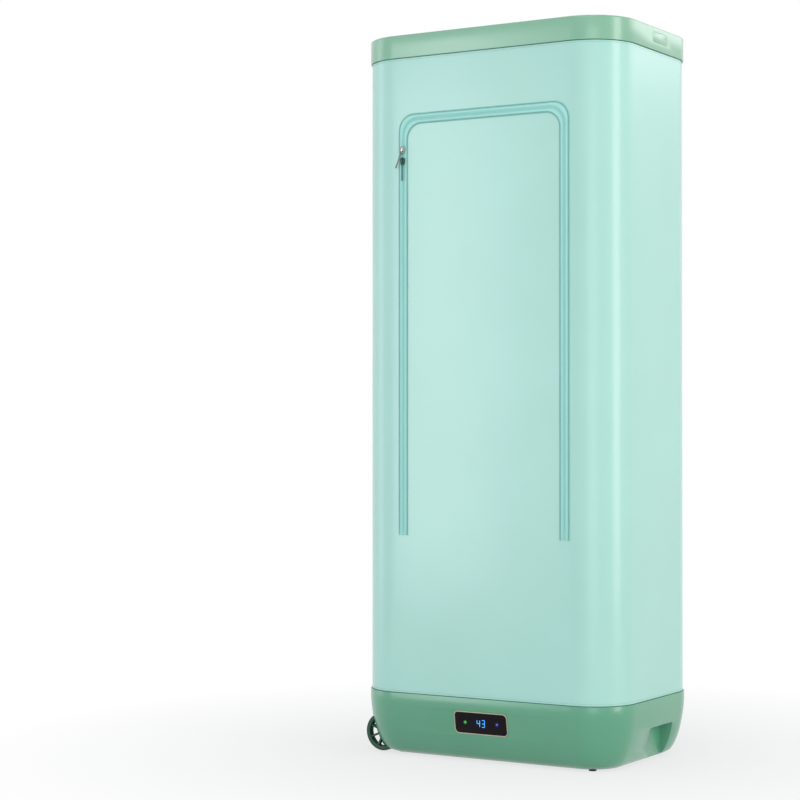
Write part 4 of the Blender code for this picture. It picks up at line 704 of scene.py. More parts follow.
lid = case_block("lid", 0, lid_low.z, lid_high.z)
with editing(lid):
    choose(lid, "EDGE", lambda centre, along: centre.z > lid_high.z - NICK)
    bpy.ops.mesh.bevel(offset=LID_EDGE, segments=5, affect="EDGES")
    choose(lid, "FACE", lambda centre, normal: normal.z > 0.99 and centre.z > lid_high.z - NICK)
    bpy.ops.mesh.inset(thickness=LID_RIM - LID_EDGE - NICK)
    bpy.ops.mesh.inset(thickness=NICK, depth=-NICK)
    push(0, 0, NICK - LID_RECESS)
    choose(lid, "FACE", looks_down)
    bpy.ops.mesh.inset(thickness=LID_WALL)
    push(0, 0, lid_high.z - LID_RECESS - LID_CEILING - lid_low.z)
    choose(lid, "EDGE", lambda centre, along: centre.z < lid_low.z + NICK)
    bpy.ops.mesh.bevel(offset=NICK, segments=2, affect="EDGES")
print("lid", round((lid_high.z - lid_low.z) * 1000, 1), "mm high")

# %% The latch's window in the lid's end
LATCH_WIDTH, LATCH_HEIGHT, LATCH_CORNER = 0.058, 0.0174, 0.0040
LATCH_Z = 1.2178
LATCH_Y = 0.009
LATCH_SEGMENTS = 10

sizes = (LATCH_WIDTH + 2 * FIT, LATCH_HEIGHT + 2 * FIT, LATCH_CORNER + FIT)
reach = (-lid_high.x - OVERRUN, OVERRUN - lid_high.x)
window = upright_plate("window", *sizes, *reach, LATCH_SEGMENTS)
at_the_end = Matrix.Translation((0, LATCH_Y, LATCH_Z)) @ Matrix.Rotation(math.pi / 2, 4, "Z")
carve(lid, settled(window, at_the_end))
finished(lid, "lid", lid_green, ["lid_shell"])

# %% [markdown]
# ## Faceted panel
# The top of the lid is a field of low three-sided pyramids, the pattern of a hard suitcase. A grid
# whose every second row is moved by half a cell turns into even triangles when its squares are
# split, and Poke lifts the middle of each. The field is thickened downwards and trimmed to the
# panel's outline, so the pyramids at the edge are cut through, as on the real one.

# %% Panel
PITCH_X, PITCH_Y = 0.0190, 0.0242
FACET_HEIGHT = 0.0011
PANEL_GROOVE = 0.0016
panel_low, panel_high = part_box("lid_panel")
rows = math.ceil(CASE_WIDTH / PITCH_X) + 1
columns = math.ceil(CASE_DEPTH / PITCH_Y) + 2
field_place = (0, -PITCH_Y / 4, panel_high.z - FACET_HEIGHT)

bpy.ops.object.select_all(action="DESELECT")
bpy.ops.mesh.primitive_grid_add(
    x_subdivisions=rows, y_subdivisions=columns, size=1, location=field_place
)
panel = added("panel", (rows * PITCH_X, columns * PITCH_Y, 1))
with editing(panel):
    choose(panel, "VERT", lambda spot, normal: round(spot.x / PITCH_X + rows / 2) % 2 == 1)
    bpy.ops.transform.translate(value=(0, PITCH_Y / 2, 0))
    bpy.ops.mesh.select_all(action="SELECT")
    bpy.ops.mesh.quads_convert_to_tris(quad_method="SHORTEST_DIAGONAL")
    bpy.ops.mesh.poke(offset=FACET_HEIGHT)
    bpy.ops.mesh.select_all(action="SELECT")
    push(0, 0, -OVERRUN)
    bpy.ops.mesh.select_all(action="SELECT")
    bpy.ops.mesh.normals_make_consistent(inside=False)
plate = case_block("plate", LID_RIM + PANEL_GROOVE, panel_low.z, panel_high.z + OVERRUN)
carve(panel, plate, operation="INTERSECT")
edges_broken(panel, 0.00022, 1, angle=5)
finished(panel, "lid", lid_green, ["lid_panel"], smooth=2)

# %% [markdown]
# ## Cover
# The cover is one tube of coated cloth, hooked into the tub's rim and into the lid, and the poles
# hold it taut. It starts from the same block as the tub. The block loses its ends and is cut into
# small squares, so that it can give a little: a slow, shallow unevenness where the cloth hangs
# free, none where it is held. Solidify then gives it its thickness.

# %% Cover cloth
COVER_INSET = 0.0026
COVER_THICKNESS = 0.0008
CUTS_UP, CUTS_WIDE, CUTS_DEEP = 71, 31, 15
cover_low, cover_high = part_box("fabric_cover")

cover = case_block("cover", COVER_INSET, cover_low.z, cover_high.z)
with editing(cover):
    choose(cover, "FACE", aligned("z"))
    bpy.ops.mesh.delete(type="FACE")
    choose(cover, "EDGE", aligned("z"))
    bpy.ops.mesh.subdivide(number_cuts=CUTS_UP)
    choose(cover, "EDGE", lambda centre, along: abs(along.x) > 0.9 and abs(centre.x) < NICK)
    bpy.ops.mesh.subdivide(number_cuts=CUTS_WIDE)
    choose(cover, "EDGE", lambda centre, along: abs(along.y) > 0.9 and abs(centre.y) < NICK)
    bpy.ops.mesh.subdivide(number_cuts=CUTS_DEEP)
print("cover cut into", len(cover.data.polygons), "squares")


# %% The cloth's own measure, one unit to the metre
def round_the_case(spot, side, inset):
    """The way round the case to a point from the middle of the front, negative on the left."""
    radius = CASE_CORNER - inset
    straight_x, straight_y = CASE_WIDTH / 2 - CASE_CORNER, CASE_DEPTH / 2 - CASE_CORNER
    x, y = abs(spot.x), abs(spot.y)
    way = min(x, straight_x)
    if x > straight_x:
        way += radius * math.atan2(x - straight_x, max(0.0, y - straight_y))
        way += max(0.0, straight_y - y)
    if spot.y > 0:
        way = 2 * (straight_x + straight_y) + math.pi * radius - way
    return way if side >= 0 else -way


sheet = cover.data.uv_layers.new(name="cloth")
for face in cover.data.polygons:
    for loop in face.loop_indices:
        spot = cover.data.vertices[cover.data.loops[loop].vertex_index].co
        sheet.data[loop].uv = (round_the_case(spot, face.center.x, COVER_INSET), spot.z)
cloth_width = 4 * (CASE_WIDTH / 2 + CASE_DEPTH / 2 - 2 * CASE_CORNER)
cloth_width += math.tau * (CASE_CORNER - COVER_INSET)
print("cloth", round(cloth_width, 3), "by", round(cover_high.z - cover_low.z, 3), "m")

# %% [markdown]
# ## Where the cloth gives
# Cloth that is held can't move: at the hems and along the zip. The weights below say so, and a
# Displace modifier with slow clouds moves the rest by half a millimetre. That is enough to make a
# highlight wander on its way down, and too little to be seen as a wave.

# %% Slight unevenness
DOOR_X = 0.005
DOOR_HALF = 0.154
DOOR_TOP = 1.090
DOOR_FOOT = 0.379
DOOR_CORNER = 0.0275
TAPE_HALF = 0.0085
HELD_BAND = 0.060


def from_the_zip(spot):
    """How far a point of the front is from the zip's line."""
    if spot.y > 0 or spot.z < DOOR_FOOT:
        return HELD_BAND
    return abs(max(abs(spot.x - DOOR_X) - DOOR_HALF, spot.z - DOOR_TOP))


def freedom(spot):
    held = min(spot.z - cover_low.z, cover_high.z - spot.z, from_the_zip(spot) - 2 * TAPE_HALF)
    share = min(1.0, max(0.0, held / HELD_BAND))
    return share * share * (3 - 2 * share)


loose = cover.vertex_groups.new(name="loose")
for vertex in cover.data.vertices:
    loose.add([vertex.index], freedom(vertex.co), "REPLACE")
clouds = bpy.data.textures.new("clouds", "CLOUDS")
clouds.noise_scale = 0.16
apply(cover, "DISPLACE", texture=clouds, strength=0.0005, mid_level=0.5, vertex_group="loose")
apply(cover, "SOLIDIFY", thickness=COVER_THICKNESS, offset=-1)
finished(cover, "base", cover_cloth, ["fabric_cover"])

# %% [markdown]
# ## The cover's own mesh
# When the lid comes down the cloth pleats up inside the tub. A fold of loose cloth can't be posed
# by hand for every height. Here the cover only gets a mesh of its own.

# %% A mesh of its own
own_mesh(cover)

# %% [markdown]
# ## Zip
# The door's zip is an upside-down U. It is made flat on the ground, where its lines are easy to
# draw: a rectangle with two rounded corners becomes a curve, and a straight strip, modelled along
# X, is bent onto it by a Curve modifier. The finished U is then stood up against the cloth. The
# tape is gathered at the corners, so its two seams aren't parallel there: each has its own line.

# %% The zip's lines
FRONT_Y = cover_low.y
SEAM_OFFSET = 0.0076
OUTER_CORNER, INNER_CORNER = 0.0280, 0.0270
DOOR_SEGMENTS = 16


def turned_to_curve(line):
    """Turns a mesh line into a curve, and gives its length."""
    only(line)
    bpy.ops.object.convert(target="CURVE")
    spline = line.data.splines[0]
    points = [point.co.xyz for point in spline.points]
    if spline.use_cyclic_u:
        points.append(points[0])
    return sum((b - a).length for a, b in zip(points, points[1:]))


def door_line(name, offset, corner):
    """The U at a distance outside the zip's middle, as a curve, and its length."""
    top, half = DOOR_TOP + offset, DOOR_HALF + offset
    bpy.ops.object.select_all(action="DESELECT")
    bpy.ops.mesh.primitive_plane_add(size=1, location=(DOOR_X, (top + DOOR_FOOT) / 2, 0))
    line = added(name, (2 * half, top - DOOR_FOOT, 1))
    with editing(line):
        choose(line, "VERT", lambda spot, normal: spot.y > top - NICK)
        bpy.ops.mesh.bevel(offset=corner, segments=DOOR_SEGMENTS, affect="VERTICES")
        bpy.ops.mesh.select_all(action="SELECT")
        bpy.ops.mesh.delete(type="ONLY_FACE")
        choose(line, "EDGE", lambda centre, along: centre.y < DOOR_FOOT + NICK)
        bpy.ops.mesh.delete(type="EDGE")
    return line, turned_to_curve(line)


middle_line, zip_length = door_line("middle_line", 0, DOOR_CORNER)
outer_line, outer_length = door_line("outer_line", SEAM_OFFSET, OUTER_CORNER)
inner_line, inner_length = door_line("inner_line", -SEAM_OFFSET, INNER_CORNER)
print("zip", round(zip_length, 3), "m long, seams", round(outer_length, 3), round(inner_length, 3))


# %% Repeat a strip, bend it onto a line and fit it to the door
def repeated(piece, pitch, length):
    spacing = {"use_relative_offset": False, "use_constant_offset": True}
    spacing["constant_offset_displace"] = (pitch, 0, 0)
    return apply(piece, "ARRAY", fit_type="FIXED_COUNT", count=int(length / pitch), **spacing)


def bent(piece, line):
    return apply(piece, "CURVE", object=line, deform_axis="POS_X")


def on_the_door(piece, material, replaced=()):
    """Stands a flat piece up against the cloth, finishes it and gives it a mesh of its own."""
    settled(piece, Matrix.Translation((0, FRONT_Y, 0)) @ TO_THE_FRONT)
    finished(piece, "base", material, replaced)
    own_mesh(piece)


# %% Tape
TAPE_LIFT = 0.0003
TAPE_THICKNESS = 0.0006
TAPE_TOP = TAPE_LIFT + TAPE_THICKNESS


def door_plate(name, offset, corner, foot, low, high):
    """A flat plate with the door's outline, its two upper corners rounded."""
    half = DOOR_HALF + offset
    piece = block(name, (DOOR_X - half, foot, low), (DOOR_X + half, DOOR_TOP + offset, high))
    with editing(piece):
        choose(piece, "EDGE", lambda centre, along: abs(along.z) > 0.9 and centre.y > foot + NICK)
        bpy.ops.mesh.bevel(offset=corner, segments=DOOR_SEGMENTS, affect="EDGES")
    return piece


outside = (TAPE_HALF, OUTER_CORNER + NICK, DOOR_FOOT, TAPE_LIFT, TAPE_TOP)
inside = (-TAPE_HALF, INNER_CORNER - NICK, DOOR_FOOT - OVERRUN, -OVERRUN, OVERRUN)
tape = carve(door_plate("zip_tape", *outside), door_plate("opening", *inside))
edges_broken(tape, 0.0002, 2, angle=60)
sheet = tape.data.uv_layers.new(name="cloth")
for loop in tape.data.loops:
    sheet.data[loop.index].uv = tape.data.vertices[loop.vertex_index].co.xy
on_the_door(tape, tape_cloth, ["zip_chain"])

# %% [markdown]
# ## Coil, painted edge shadow and stitches
# A nylon coil zip shows two rows of loops that hook into each other, a millimetre apart. One pair
# of loops is modelled, a dozen faces each, and an Array modifier repeats it for the length of the
# zip before the strip is bent. A thin dark strip along each edge of the tape paints the shadow in
# the groove between tape and cloth, and two rows of short stitches beside it hold the tape to the
# cloth: all of them are strips on the seams' own lines.

# %% One pair of loops, repeated
COIL_PITCH = 0.0020
COIL_HALF = 0.0034
COIL_PAST_MIDDLE = 0.0004
COIL_LIFT = TAPE_TOP - 0.0001
COIL_TOP = COIL_LIFT + 0.0008
LOOP_WIDTH = 0.00090
LOOP_ROUND = 0.00032


def coil_loop(name, start, side):
    """A bar from the coil's outer edge to just past its middle, humped towards the top."""
    near, far = sorted((side * COIL_HALF, -side * COIL_PAST_MIDDLE))
    piece = block(name, (start, near, COIL_LIFT), (start + LOOP_WIDTH, far, COIL_TOP))
    with editing(piece):
        choose(piece, "EDGE", lambda centre, along: centre.z > COIL_TOP - NICK)
        bpy.ops.mesh.bevel(offset=LOOP_ROUND, segments=1, affect="EDGES")
    return piece


coil = joined(coil_loop("zip_coil", 0, -1), coil_loop("coil_loop", COIL_PITCH / 2, 1))
on_the_door(bent(repeated(coil, COIL_PITCH, zip_length), middle_line), coil_nylon)

# %% Painted shadow along the tape's edges
EDGE_SHADOW_WIDTH = 0.0011
EDGE_SHADOW_HEIGHT = 0.0005
EDGE_SHADOW_ROUND = 0.00035
SHADOW_STRIP_CUTS = (20, 20)
SEAM_FOOT = TAPE_TOP - 0.0002


def cut_along(piece, passes):
    """Cuts the edges along X. One call makes a hundred cuts at most, so it is done in passes."""
    for cuts in passes:
        choose(piece, "EDGE", aligned("x"))
        bpy.ops.mesh.subdivide(number_cuts=cuts)


# A thin dark strip on a seam's line, painting the shadow where tape meets cloth.
def edge_shadow_strip(name, line, length):
    half = EDGE_SHADOW_WIDTH / 2
    piece = block(name, (0, -half, TAPE_LIFT), (length, half, SEAM_FOOT + EDGE_SHADOW_HEIGHT))
    with editing(piece):
        choose(piece, "EDGE", lambda centre, along: abs(along.x) > 0.9 and centre.z > SEAM_FOOT)
        bpy.ops.mesh.bevel(offset=EDGE_SHADOW_ROUND, segments=2, affect="EDGES")
        cut_along(piece, SHADOW_STRIP_CUTS)
    return bent(piece, line)


outer_edge_shadow = edge_shadow_strip("zip_edge_shadow", outer_line, outer_length)
on_the_door(joined(outer_edge_shadow, edge_shadow_strip("inner", inner_line, inner_length)), edge_shadow_thread)

# %% One stitch, repeated in four rows
STITCH_PITCH = 0.0034
STITCH_LENGTH = 0.0027
STITCH_WIDTH = 0.0005
STITCH_HEIGHT = 0.0004
STITCH_ROUND = 0.00018
STITCH_IN = 0.0014


def stitched(name, line, length, across):
    """A row of stitches beside a seam."""
    low = (0, across - STITCH_WIDTH / 2, SEAM_FOOT)
    top = SEAM_FOOT + STITCH_HEIGHT
    stitch = block(name, low, (STITCH_LENGTH, low[1] + STITCH_WIDTH, top))
    with editing(stitch):
        choose(stitch, "EDGE", lambda centre, along: centre.z > top - NICK / 4)
        bpy.ops.mesh.bevel(offset=STITCH_ROUND, segments=1, affect="EDGES")
    return bent(repeated(stitch, STITCH_PITCH, length), line)


stitches = joined(
    stitched("zip_stitches", outer_line, outer_length, -STITCH_IN),
    stitched("row", outer_line, outer_length, STITCH_IN),
    stitched("row", inner_line, inner_length, -STITCH_IN),
    stitched("row", inner_line, inner_length, STITCH_IN),
)
on_the_door(stitches, stitch_thread)
for line in (middle_line, outer_line, inner_line):
    bpy.data.objects.remove(line, do_unlink=True)

# %% [markdown]
# ## Hems
# The cover's hems are folded over the wires that hold them. A thin dark strip just above the tub
# and just below the lid paints the shadow in the gap at the cloth's edge, and a row of stitches runs
# beside it. Both are strips bent round the case's outline in the same way as the zip's.

# %% Painted gap shadow and stitches round the case
HEM_ROW = 0.0040
GAP_SHADOW_HEIGHT = 0.0010
GAP_SHADOW_THICKNESS = 0.0005
THREAD = NICK / 2

bpy.ops.object.select_all(action="DESELECT")
bpy.ops.mesh.primitive_plane_add(size=1, location=(0, 0, 0))
around = added("around", (CASE_WIDTH - 2 * COVER_INSET, CASE_DEPTH - 2 * COVER_INSET, 1))
with editing(around):
    bpy.ops.mesh.select_all(action="SELECT")
    corner = CASE_CORNER - COVER_INSET
    bpy.ops.mesh.bevel(offset=corner, segments=CORNER_SEGMENTS, affect="VERTICES")
    bpy.ops.mesh.select_all(action="SELECT")
    bpy.ops.mesh.delete(type="ONLY_FACE")
around_length = turned_to_curve(around)
hem_pitch = around_length / round(around_length / STITCH_PITCH)
# Each dark strip at the cloth's edge paints the shadow in the gap, above the tub and below the lid.
for place, edge, inwards in (("low", RIM_HEIGHT, 1), ("high", lid_low.z, -1)):
    height = edge + inwards * GAP_SHADOW_HEIGHT / 2
    low = (0, -GAP_SHADOW_THICKNESS / 2, height - GAP_SHADOW_HEIGHT / 2)
    high = (around_length, GAP_SHADOW_THICKNESS / 2, height + GAP_SHADOW_HEIGHT / 2)
    gap_shadow_band = rounded_block(f"hem_gap_shadow_{place}", low, high, "x", GAP_SHADOW_THICKNESS / 4, 2)
    with editing(gap_shadow_band):
        cut_along(gap_shadow_band, SHADOW_STRIP_CUTS)
    height = edge + inwards * HEM_ROW
    low, high = (0, -THREAD, height - THREAD), (STITCH_LENGTH, THREAD, height + THREAD)
    row = block(f"hem_stitches_{place}", low, high)
    with editing(row):
        bpy.ops.mesh.select_all(action="SELECT")
        bpy.ops.mesh.bevel(offset=THREAD / 2, segments=1, affect="EDGES")
    repeated(row, hem_pitch, around_length + NICK)
    for piece, thread in ((gap_shadow_band, gap_shadow_thread), (row, stitch_thread)):
        finished(bent(piece, around), "base", thread)
        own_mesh(piece)
bpy.data.objects.remove(around, do_unlink=True)
print("hem rows", round(around_length, 3), "m round")

# %% [markdown]
# ## Zip sliders
# A slider is cast: a shield-shaped plate that runs on the coil, with a small bridge on it that
# carries the pull tab. Castings have soft edges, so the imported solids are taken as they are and
# their edges are broken. A copy is merged first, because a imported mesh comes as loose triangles.


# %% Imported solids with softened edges
def softened(node, name, width, segments=2, angle=30):
    """A copy of a node, its triangles merged back into faces and its edges rounded."""
    mesh = nodes[node].data.copy()
    mesh.name = name
    piece = bpy.data.objects.new(name, mesh)
    bpy.context.scene.collection.objects.link(piece)
    with editing(piece):
        bpy.ops.mesh.select_all(action="SELECT")
        bpy.ops.mesh.remove_doubles(threshold=0.00001)
        bpy.ops.mesh.dissolve_limited(angle_limit=math.radians(1))
        bpy.ops.mesh.normals_make_consistent(inside=False)
    return edges_broken(piece, width, segments, angle)


for place, slider_finish, tab_finish in (
    ("upper", slider_metal, tab_metal),
    ("lower", dark_slider_metal, dark_slider_metal),
):
    slider = softened(f"zip_slider_{place}", f"slider_{place}", 0.00035)
    finished(slider, f"{place}_slider", slider_finish, [f"zip_slider_{place}"])
    tab = softened(f"pull_tab_{place}", f"tab_{place}", 0.0002)
    finished(tab, f"{place}_tab", tab_finish, [f"pull_tab_{place}"])

# %% [markdown]
# ## Display
# A rounded frame of pale metal stands a millimetre proud of the wall and holds a black pane. Two
# domed lenses are the keys, green to start and blue to choose, and two lit digits between them show
# the temperature. A digit is made of the same bars over and over, so one level bar and one upright
# bar are modelled and copied to wherever the figures need them.

# %% Bezel and pane
BEZEL_FRAME = 0.0019
BEZEL_PROUD = 0.0014
BEZEL_DEPTH = 0.0030
PANE_PROUD = 0.0008
PANE_THICKNESS = 0.0026
PANE_CORNER = DISPLAY_CORNER - BEZEL_FRAME
PANE_SEGMENTS = 12
KEY_OFFSET = 0.0303
KEY_RADIUS = 0.0036
seat = seat_matrix("display_bezel")

outline = (DISPLAY_WIDTH, DISPLAY_HEIGHT, DISPLAY_CORNER)
bezel = upright_plate("bezel", *outline, -BEZEL_PROUD, BEZEL_DEPTH, PANE_SEGMENTS)
pane_sizes = [size - 2 * BEZEL_FRAME for size in (DISPLAY_WIDTH, DISPLAY_HEIGHT)]
reach = (-OVERRUN, OVERRUN, PANE_SEGMENTS)
carve(bezel, upright_plate("opening", *pane_sizes, PANE_CORNER, *reach))
edges_broken(bezel, 0.0005, 3)
finished(settled(bezel, seat), "base", bezel_metal, ["display_bezel"])

outline = (*(size - 2 * FIT for size in pane_sizes), PANE_CORNER - FIT)
reach = (-PANE_PROUD, PANE_THICKNESS - PANE_PROUD, PANE_SEGMENTS)
pane = upright_plate("pane", *outline, *reach)
for side in (-1, 1):
    carve(pane, pin("hole", (side * KEY_OFFSET, 0, 0), KEY_RADIUS + FIT, 2 * OVERRUN, 48))
edges_broken(pane, 0.00025, 2)
finished(settled(pane, seat), "base", display_black, ["display_glass"])

# %% Keys
KEY_CROWN = 0.0010
KEY_GLOW_SHARE = 0.95
GLOW_POWER = 0.9
# The first tone of each key is its painted highlight; the other two are the lens's own glow.
GREEN_LIGHT = ((215, 255, 215), (24, 190, 48), (2, 50, 8))
BLUE_LIGHT = ((215, 228, 255), (26, 48, 176), (6, 10, 60))
for side, name, tones in ((-1, "power_key", GREEN_LIGHT), (1, "mode_key", BLUE_LIGHT)):
    bpy.ops.object.select_all(action="DESELECT")
    bpy.ops.mesh.primitive_uv_sphere_add(segments=40, ring_count=24, radius=KEY_RADIUS)
    key = added(name.replace("_key", "_dome"))
    with editing(key):
        bpy.ops.mesh.select_all(action="SELECT")
        bpy.ops.mesh.bisect(plane_co=(0, 0, 0), plane_no=(0, 0, 1), clear_inner=True, use_fill=True)
        bpy.ops.mesh.select_all(action="SELECT")
        bpy.ops.transform.resize(value=(1, 1, KEY_CROWN / KEY_RADIUS), center_override=(0, 0, 0))
        choose(key, "FACE", looks_down)
        push(0, 0, -PANE_THICKNESS)
    centre = Vector((side * KEY_OFFSET, -PANE_PROUD, 0))
    settled(key, seat @ Matrix.Translation(centre) @ TO_THE_FRONT)
    # The painted highlight sits up and right on the dome's crown.
    painted_glint_spot = seat @ (centre + Vector((KEY_RADIUS / 3, -KEY_CROWN, KEY_RADIUS / 4)))
    lens = glowing(name + "_lens", tones, GLOW_POWER, painted_glint_spot, KEY_RADIUS * KEY_GLOW_SHARE)
    finished(key, name, lens, [name])

# %% Two bars, level and upright
DIGIT_HEIGHT = 0.0118
DIGIT_WIDTH = 0.0052
DIGIT_STROKE = 0.0012
DIGIT_PITCH = 0.0092
DIGIT_SLANT = 0.10
DIGIT_PROUD = 0.00006
half_height, half_width = DIGIT_HEIGHT / 2, DIGIT_WIDTH / 2


def lit_bar(name, length):
    """One bar of a figure along X, its ends drawn to a point."""
    half, stroke, front = length / 2, DIGIT_STROKE / 2, -PANE_PROUD - DIGIT_PROUD
    bar = block(name, (-half, front, -stroke), (half, front + FIT, stroke))
    with editing(bar):
        for end in (-1, 1):
            choose(bar, "FACE", lambda centre, normal: normal.x * end > 0.9)
            push(end * stroke * 0.8, 0, 0)
            bpy.ops.transform.resize(value=(1, 1, 0.15), center_override=(0, 0, 0))
    return bar


level = lit_bar("level_bar", DIGIT_WIDTH - DIGIT_STROKE)
upright = settled(
    lit_bar("upright_bar", half_height - DIGIT_STROKE), Matrix.Rotation(math.pi / 2, 4, "Y")
)
print("bars of", len(level.data.polygons), "faces")

# %% Digits
FIGURES = {4: "bcfg", 3: "abcdg"}
BARS = {
    "a": (0, half_height, level),
    "b": (half_width, half_height / 2, upright),
    "c": (half_width, -half_height / 2, upright),
    "d": (0, -half_height, level),
    "f": (-half_width, half_height / 2, upright),
    "g": (0, 0, level),
}
DIGIT_LIGHT = ((120, 212, 255), (92, 196, 255), (50, 150, 250))
bars = []
for place, figure in ((-0.5, 4), (0.5, 3)):
    for letter in FIGURES[figure]:
        across, up, bar = BARS[letter]
        spot = (across + place * DIGIT_PITCH + up * DIGIT_SLANT, 0, up)
        bars.append(copied(bar, "digits", Matrix.Translation(spot)))
for bar in (level, upright):
    bpy.data.objects.remove(bar, do_unlink=True)
digits = settled(joined(*bars), seat)
middle = seat @ Vector((0, -PANE_PROUD, 0))
digit_light = glowing("digit_light", DIGIT_LIGHT, GLOW_POWER, middle, DIGIT_HEIGHT)
finished(digits, "base", digit_light)

# %% [markdown]
# ## Wheels
# Each wheel is a ring on eight flat spokes. A cylinder whose two ends are inset and bridged becomes
# the ring, one spoke is modelled and copied round eight times, and all of it is joined into one
# solid before its edges are broken, so that the spokes run into the rim with a soft corner. The
# finished wheel is copied for the other side.

# %% One wheel
WHEEL_RADIUS = 0.0325
WHEEL_RIM = 0.0070
WHEEL_WIDTH = 0.012
HUB_RADIUS = 0.0072
HUB_WIDTH = 0.0146
AXLE_RADIUS = 0.0028
SPOKES = 8
SPOKE_WIDTH = 0.0034
SPOKE_THICKNESS = 0.0070
SPOKE_ROOT = 0.001


def ring(name, outer, inner, width, steps):
    """A flat ring round Z."""
    bpy.ops.object.select_all(action="DESELECT")
    bpy.ops.mesh.primitive_cylinder_add(vertices=steps, radius=outer, depth=width)
    piece = added(name)
    with editing(piece):
        choose(piece, "FACE", aligned("z"))
        bpy.ops.mesh.inset(thickness=outer - inner)
        bpy.ops.mesh.bridge_edge_loops()
    return piece


bed = WHEEL_RADIUS - WHEEL_RIM
half_width, half_thickness = SPOKE_WIDTH / 2, SPOKE_THICKNESS / 2
spoke = block(
    "spoke",
    (HUB_RADIUS - SPOKE_ROOT, -half_width, -half_thickness),
    (bed + SPOKE_ROOT, half_width, half_thickness),
)
turns = [Matrix.Rotation(math.tau * (count + 0.5) / SPOKES, 4, "Z") for count in range(SPOKES)]
spokes = joined(*(copied(spoke, "spokes", turn) for turn in turns))
hub = ring("hub", HUB_RADIUS, AXLE_RADIUS, HUB_WIDTH, 48)
wheel = ring("wheel", WHEEL_RADIUS, bed, WHEEL_WIDTH, 80)
carve(wheel, spokes, hub, operation="UNION")
edges_broken(wheel, 0.0009, 3, angle=50)
print("wheel", round(2000 * WHEEL_RADIUS), "mm across")

# %% Two wheels
for side, place in ((-1, "front"), (1, "rear")):
    seat = Matrix.Translation(wheel_place(side)) @ TO_THE_FRONT
    made = copied(wheel, f"wheel_{place}_turned", seat)
    finished(made, f"{place}_wheel", wheel_green, [f"wheel_{place}"])
for pattern in (wheel, spoke):
    bpy.data.objects.remove(pattern, do_unlink=True)

# %% [markdown]
# ## The rest of the outside
# Feet, grilles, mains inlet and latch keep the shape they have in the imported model. A broken edge
# is all that they lack: it catches the light, and without it they look like cut paper.

# %% Feet, intake, inlet and latch
for place in ("front_left", "front_right", "rear_left", "rear_right"):
    foot = softened(f"foot_{place}", f"rubber_{place}", 0.0007, 3, angle=50)
    finished(foot, "base", foot_rubber, [f"foot_{place}"])
intake = softened("intake_grille", "intake", 0.0005)
finished(intake, "base", base_green, ["intake_grille"])
inlet = softened("power_inlet", "inlet", 0.0004)
finished(inlet, "base", machine_grey, ["power_inlet"])
latch = softened("latch_button", "latch", 0.0003, angle=50)
finished(latch, "latch", lid_green, ["latch_button"])

# %% [markdown]
# ## The inside
# The machinery and the poles only show with the zip open or from above. They keep their packed
# solids, and get the same finishes as the rest through their material slots.

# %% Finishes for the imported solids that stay
poles = [node for node in nodes if node.startswith("pole_")]
hem_rings = ("base_hem_ring", "lid_hem_ring")
STAYING = (
    (deck_grey, ("base_deck", "outlet_grille")),
    (machine_grey, ("blower_scroll", "blower_impeller", "air_duct", *hem_rings)),
    (small_metal, ("blower_motor", "wheel_axle_front", "wheel_axle_rear", "latch_keeper")),
    (heater_metal, ("heater",)),
    (board_green, ("control_board",)),
    (rod_metal, ("hanging_rod_front", "hanging_rod_rear")),
    (pole_metal, ("rod_bracket_left", "rod_bracket_right", *poles)),
)
for material, staying in STAYING:
    for node in staying:
        for material_slot in nodes[node].material_slots:
            material_slot.material = material
print(sum(len(staying) for material, staying in STAYING), "solids keep their shape")

# %% [markdown]
# ## Floor and light
# The dryer stands on a plain pale floor in a white studio. Light Path tells the camera's rays and
# reflections from the rest, so the surroundings can be seen as white while the light on the dryer
# stays at a plain level. The floor fades to white away from the dryer and keeps its shadow nearby.
# Six large soft lamps do what the studio's did: one lights the end, a narrow one draws the streak
# down the front corner, one catches the lid's end, and the others fill from left, near and above.


# %% Floor
def white_where_seen(graph, shaded, plain, share=1.0):
    """The shading as it is for light, and by a share plain white for camera and reflections."""
    seen = graph.node("LightPath", output="Is Camera Ray")
    for ray in ("Is Glossy Ray", "Is Transmission Ray"):
        seen = seen.maths("MAXIMUM", seen, graph.node("LightPath", output=ray))
    white = graph.node(plain, sockets={"Color": (1, 1, 1, 1), "Strength": 1})
    return graph.node("MixShader", sockets={0: seen * share, 1: shaded, 2: white})


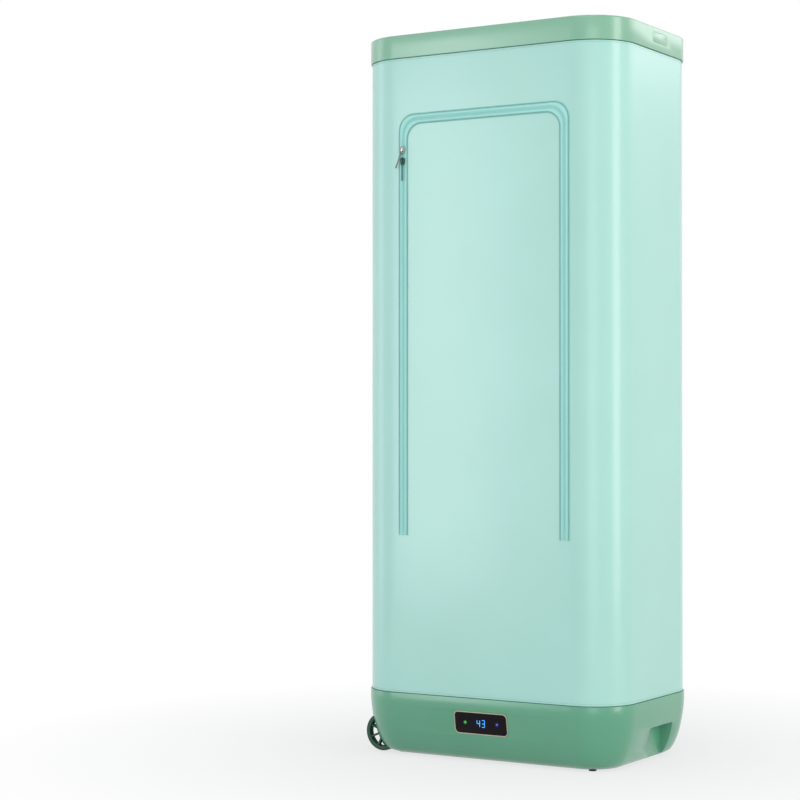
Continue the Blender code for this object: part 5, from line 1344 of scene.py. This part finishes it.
bpy.ops.object.select_all(action="DESELECT")
bpy.ops.mesh.primitive_plane_add(size=60, location=(0, 0, 0))
studio_floor = added("studio_floor")
paint = Finish("floor_paint", (214, 217, 217), 0.9)
spot = paint.node("TexCoord", output="Object")
away = paint.node("VectorMath", {"operation": "LENGTH"}, {0: spot}, output="Value")
whiter = {"Value": away, "From Min": 0.3, "From Max": 1.0, "To Min": 0.72, "To Max": 1.0}
fade = paint.node("MapRange", sockets=whiter)
surface = white_where_seen(paint, Signal(paint, paint.shader.outputs[0]), "Emission", fade)
paint.set(paint.tree.nodes["Material Output"], {"Surface": surface})
studio_floor.data.materials.append(paint.material)
print("floor", round(studio_floor.dimensions.x), "m wide")

# %% World
SKY_COLOUR = (0.93, 0.97, 1.0, 1)
SKY_STRENGTH = 0.52
world = bpy.data.worlds.new("studio")
bpy.context.scene.world = world
world.use_nodes = True
studio = Graph(world.node_tree)
sky = studio.tree.nodes["Background"]
studio.set(sky, {"Color": SKY_COLOUR, "Strength": SKY_STRENGTH})
surface = white_where_seen(studio, Signal(studio, sky.outputs[0]), "Background")
studio.set(studio.tree.nodes["World Output"], {"Surface": surface})
print("sky at", SKY_STRENGTH)


# %% Lamps
def soft_lamp(name, place, aim, width, height, watts, colour=(1, 1, 1)):
    bpy.ops.object.select_all(action="DESELECT")
    turn = (Vector(aim) - Vector(place)).to_track_quat("-Z", "Y").to_euler()
    bpy.ops.object.light_add(type="AREA", location=place, rotation=turn)
    lamp = bpy.context.object
    lamp.name = name
    lamp.data.shape = "RECTANGLE"
    lamp.data.size, lamp.data.size_y = width, height
    lamp.data.energy = watts
    lamp.data.color = colour
    lamp.visible_camera = False


WARM, WARMER, COOL, COOLER = (1, 0.98, 0.94), (1, 0.98, 0.92), (0.95, 0.99, 1), (0.95, 0.98, 1)
soft_lamp("end_lamp", (3.3, -0.15, 0.9), (0, 0, 0.6), 1.0, 3.2, 46, WARMER)
soft_lamp("front_strip", (-1.73, -3.0, 0.45), (-0.076, -0.17, 0.45), 0.24, 2.6, 23, COOL)
soft_lamp("lid_lamp", (1.79, 2.52, 2.0), (0.2, 0, 1.2), 2.2, 0.7, 9)
soft_lamp("left_lamp", (-3.0, -0.9, 0.9), (0, 0, 0.7), 1.0, 2.6, 12, COOLER)
soft_lamp("near_lamp", (1.2, -1.9, 0.6), (0.15, 0, 0.5), 0.8, 1.6, 7, WARM)
soft_lamp("top_lamp", (0.8, -2.2, 3.2), (0, 0, 0.9), 1.6, 1.6, 16)
print("six lamps")

bpy.context.scene.view_settings.view_transform = "Standard"
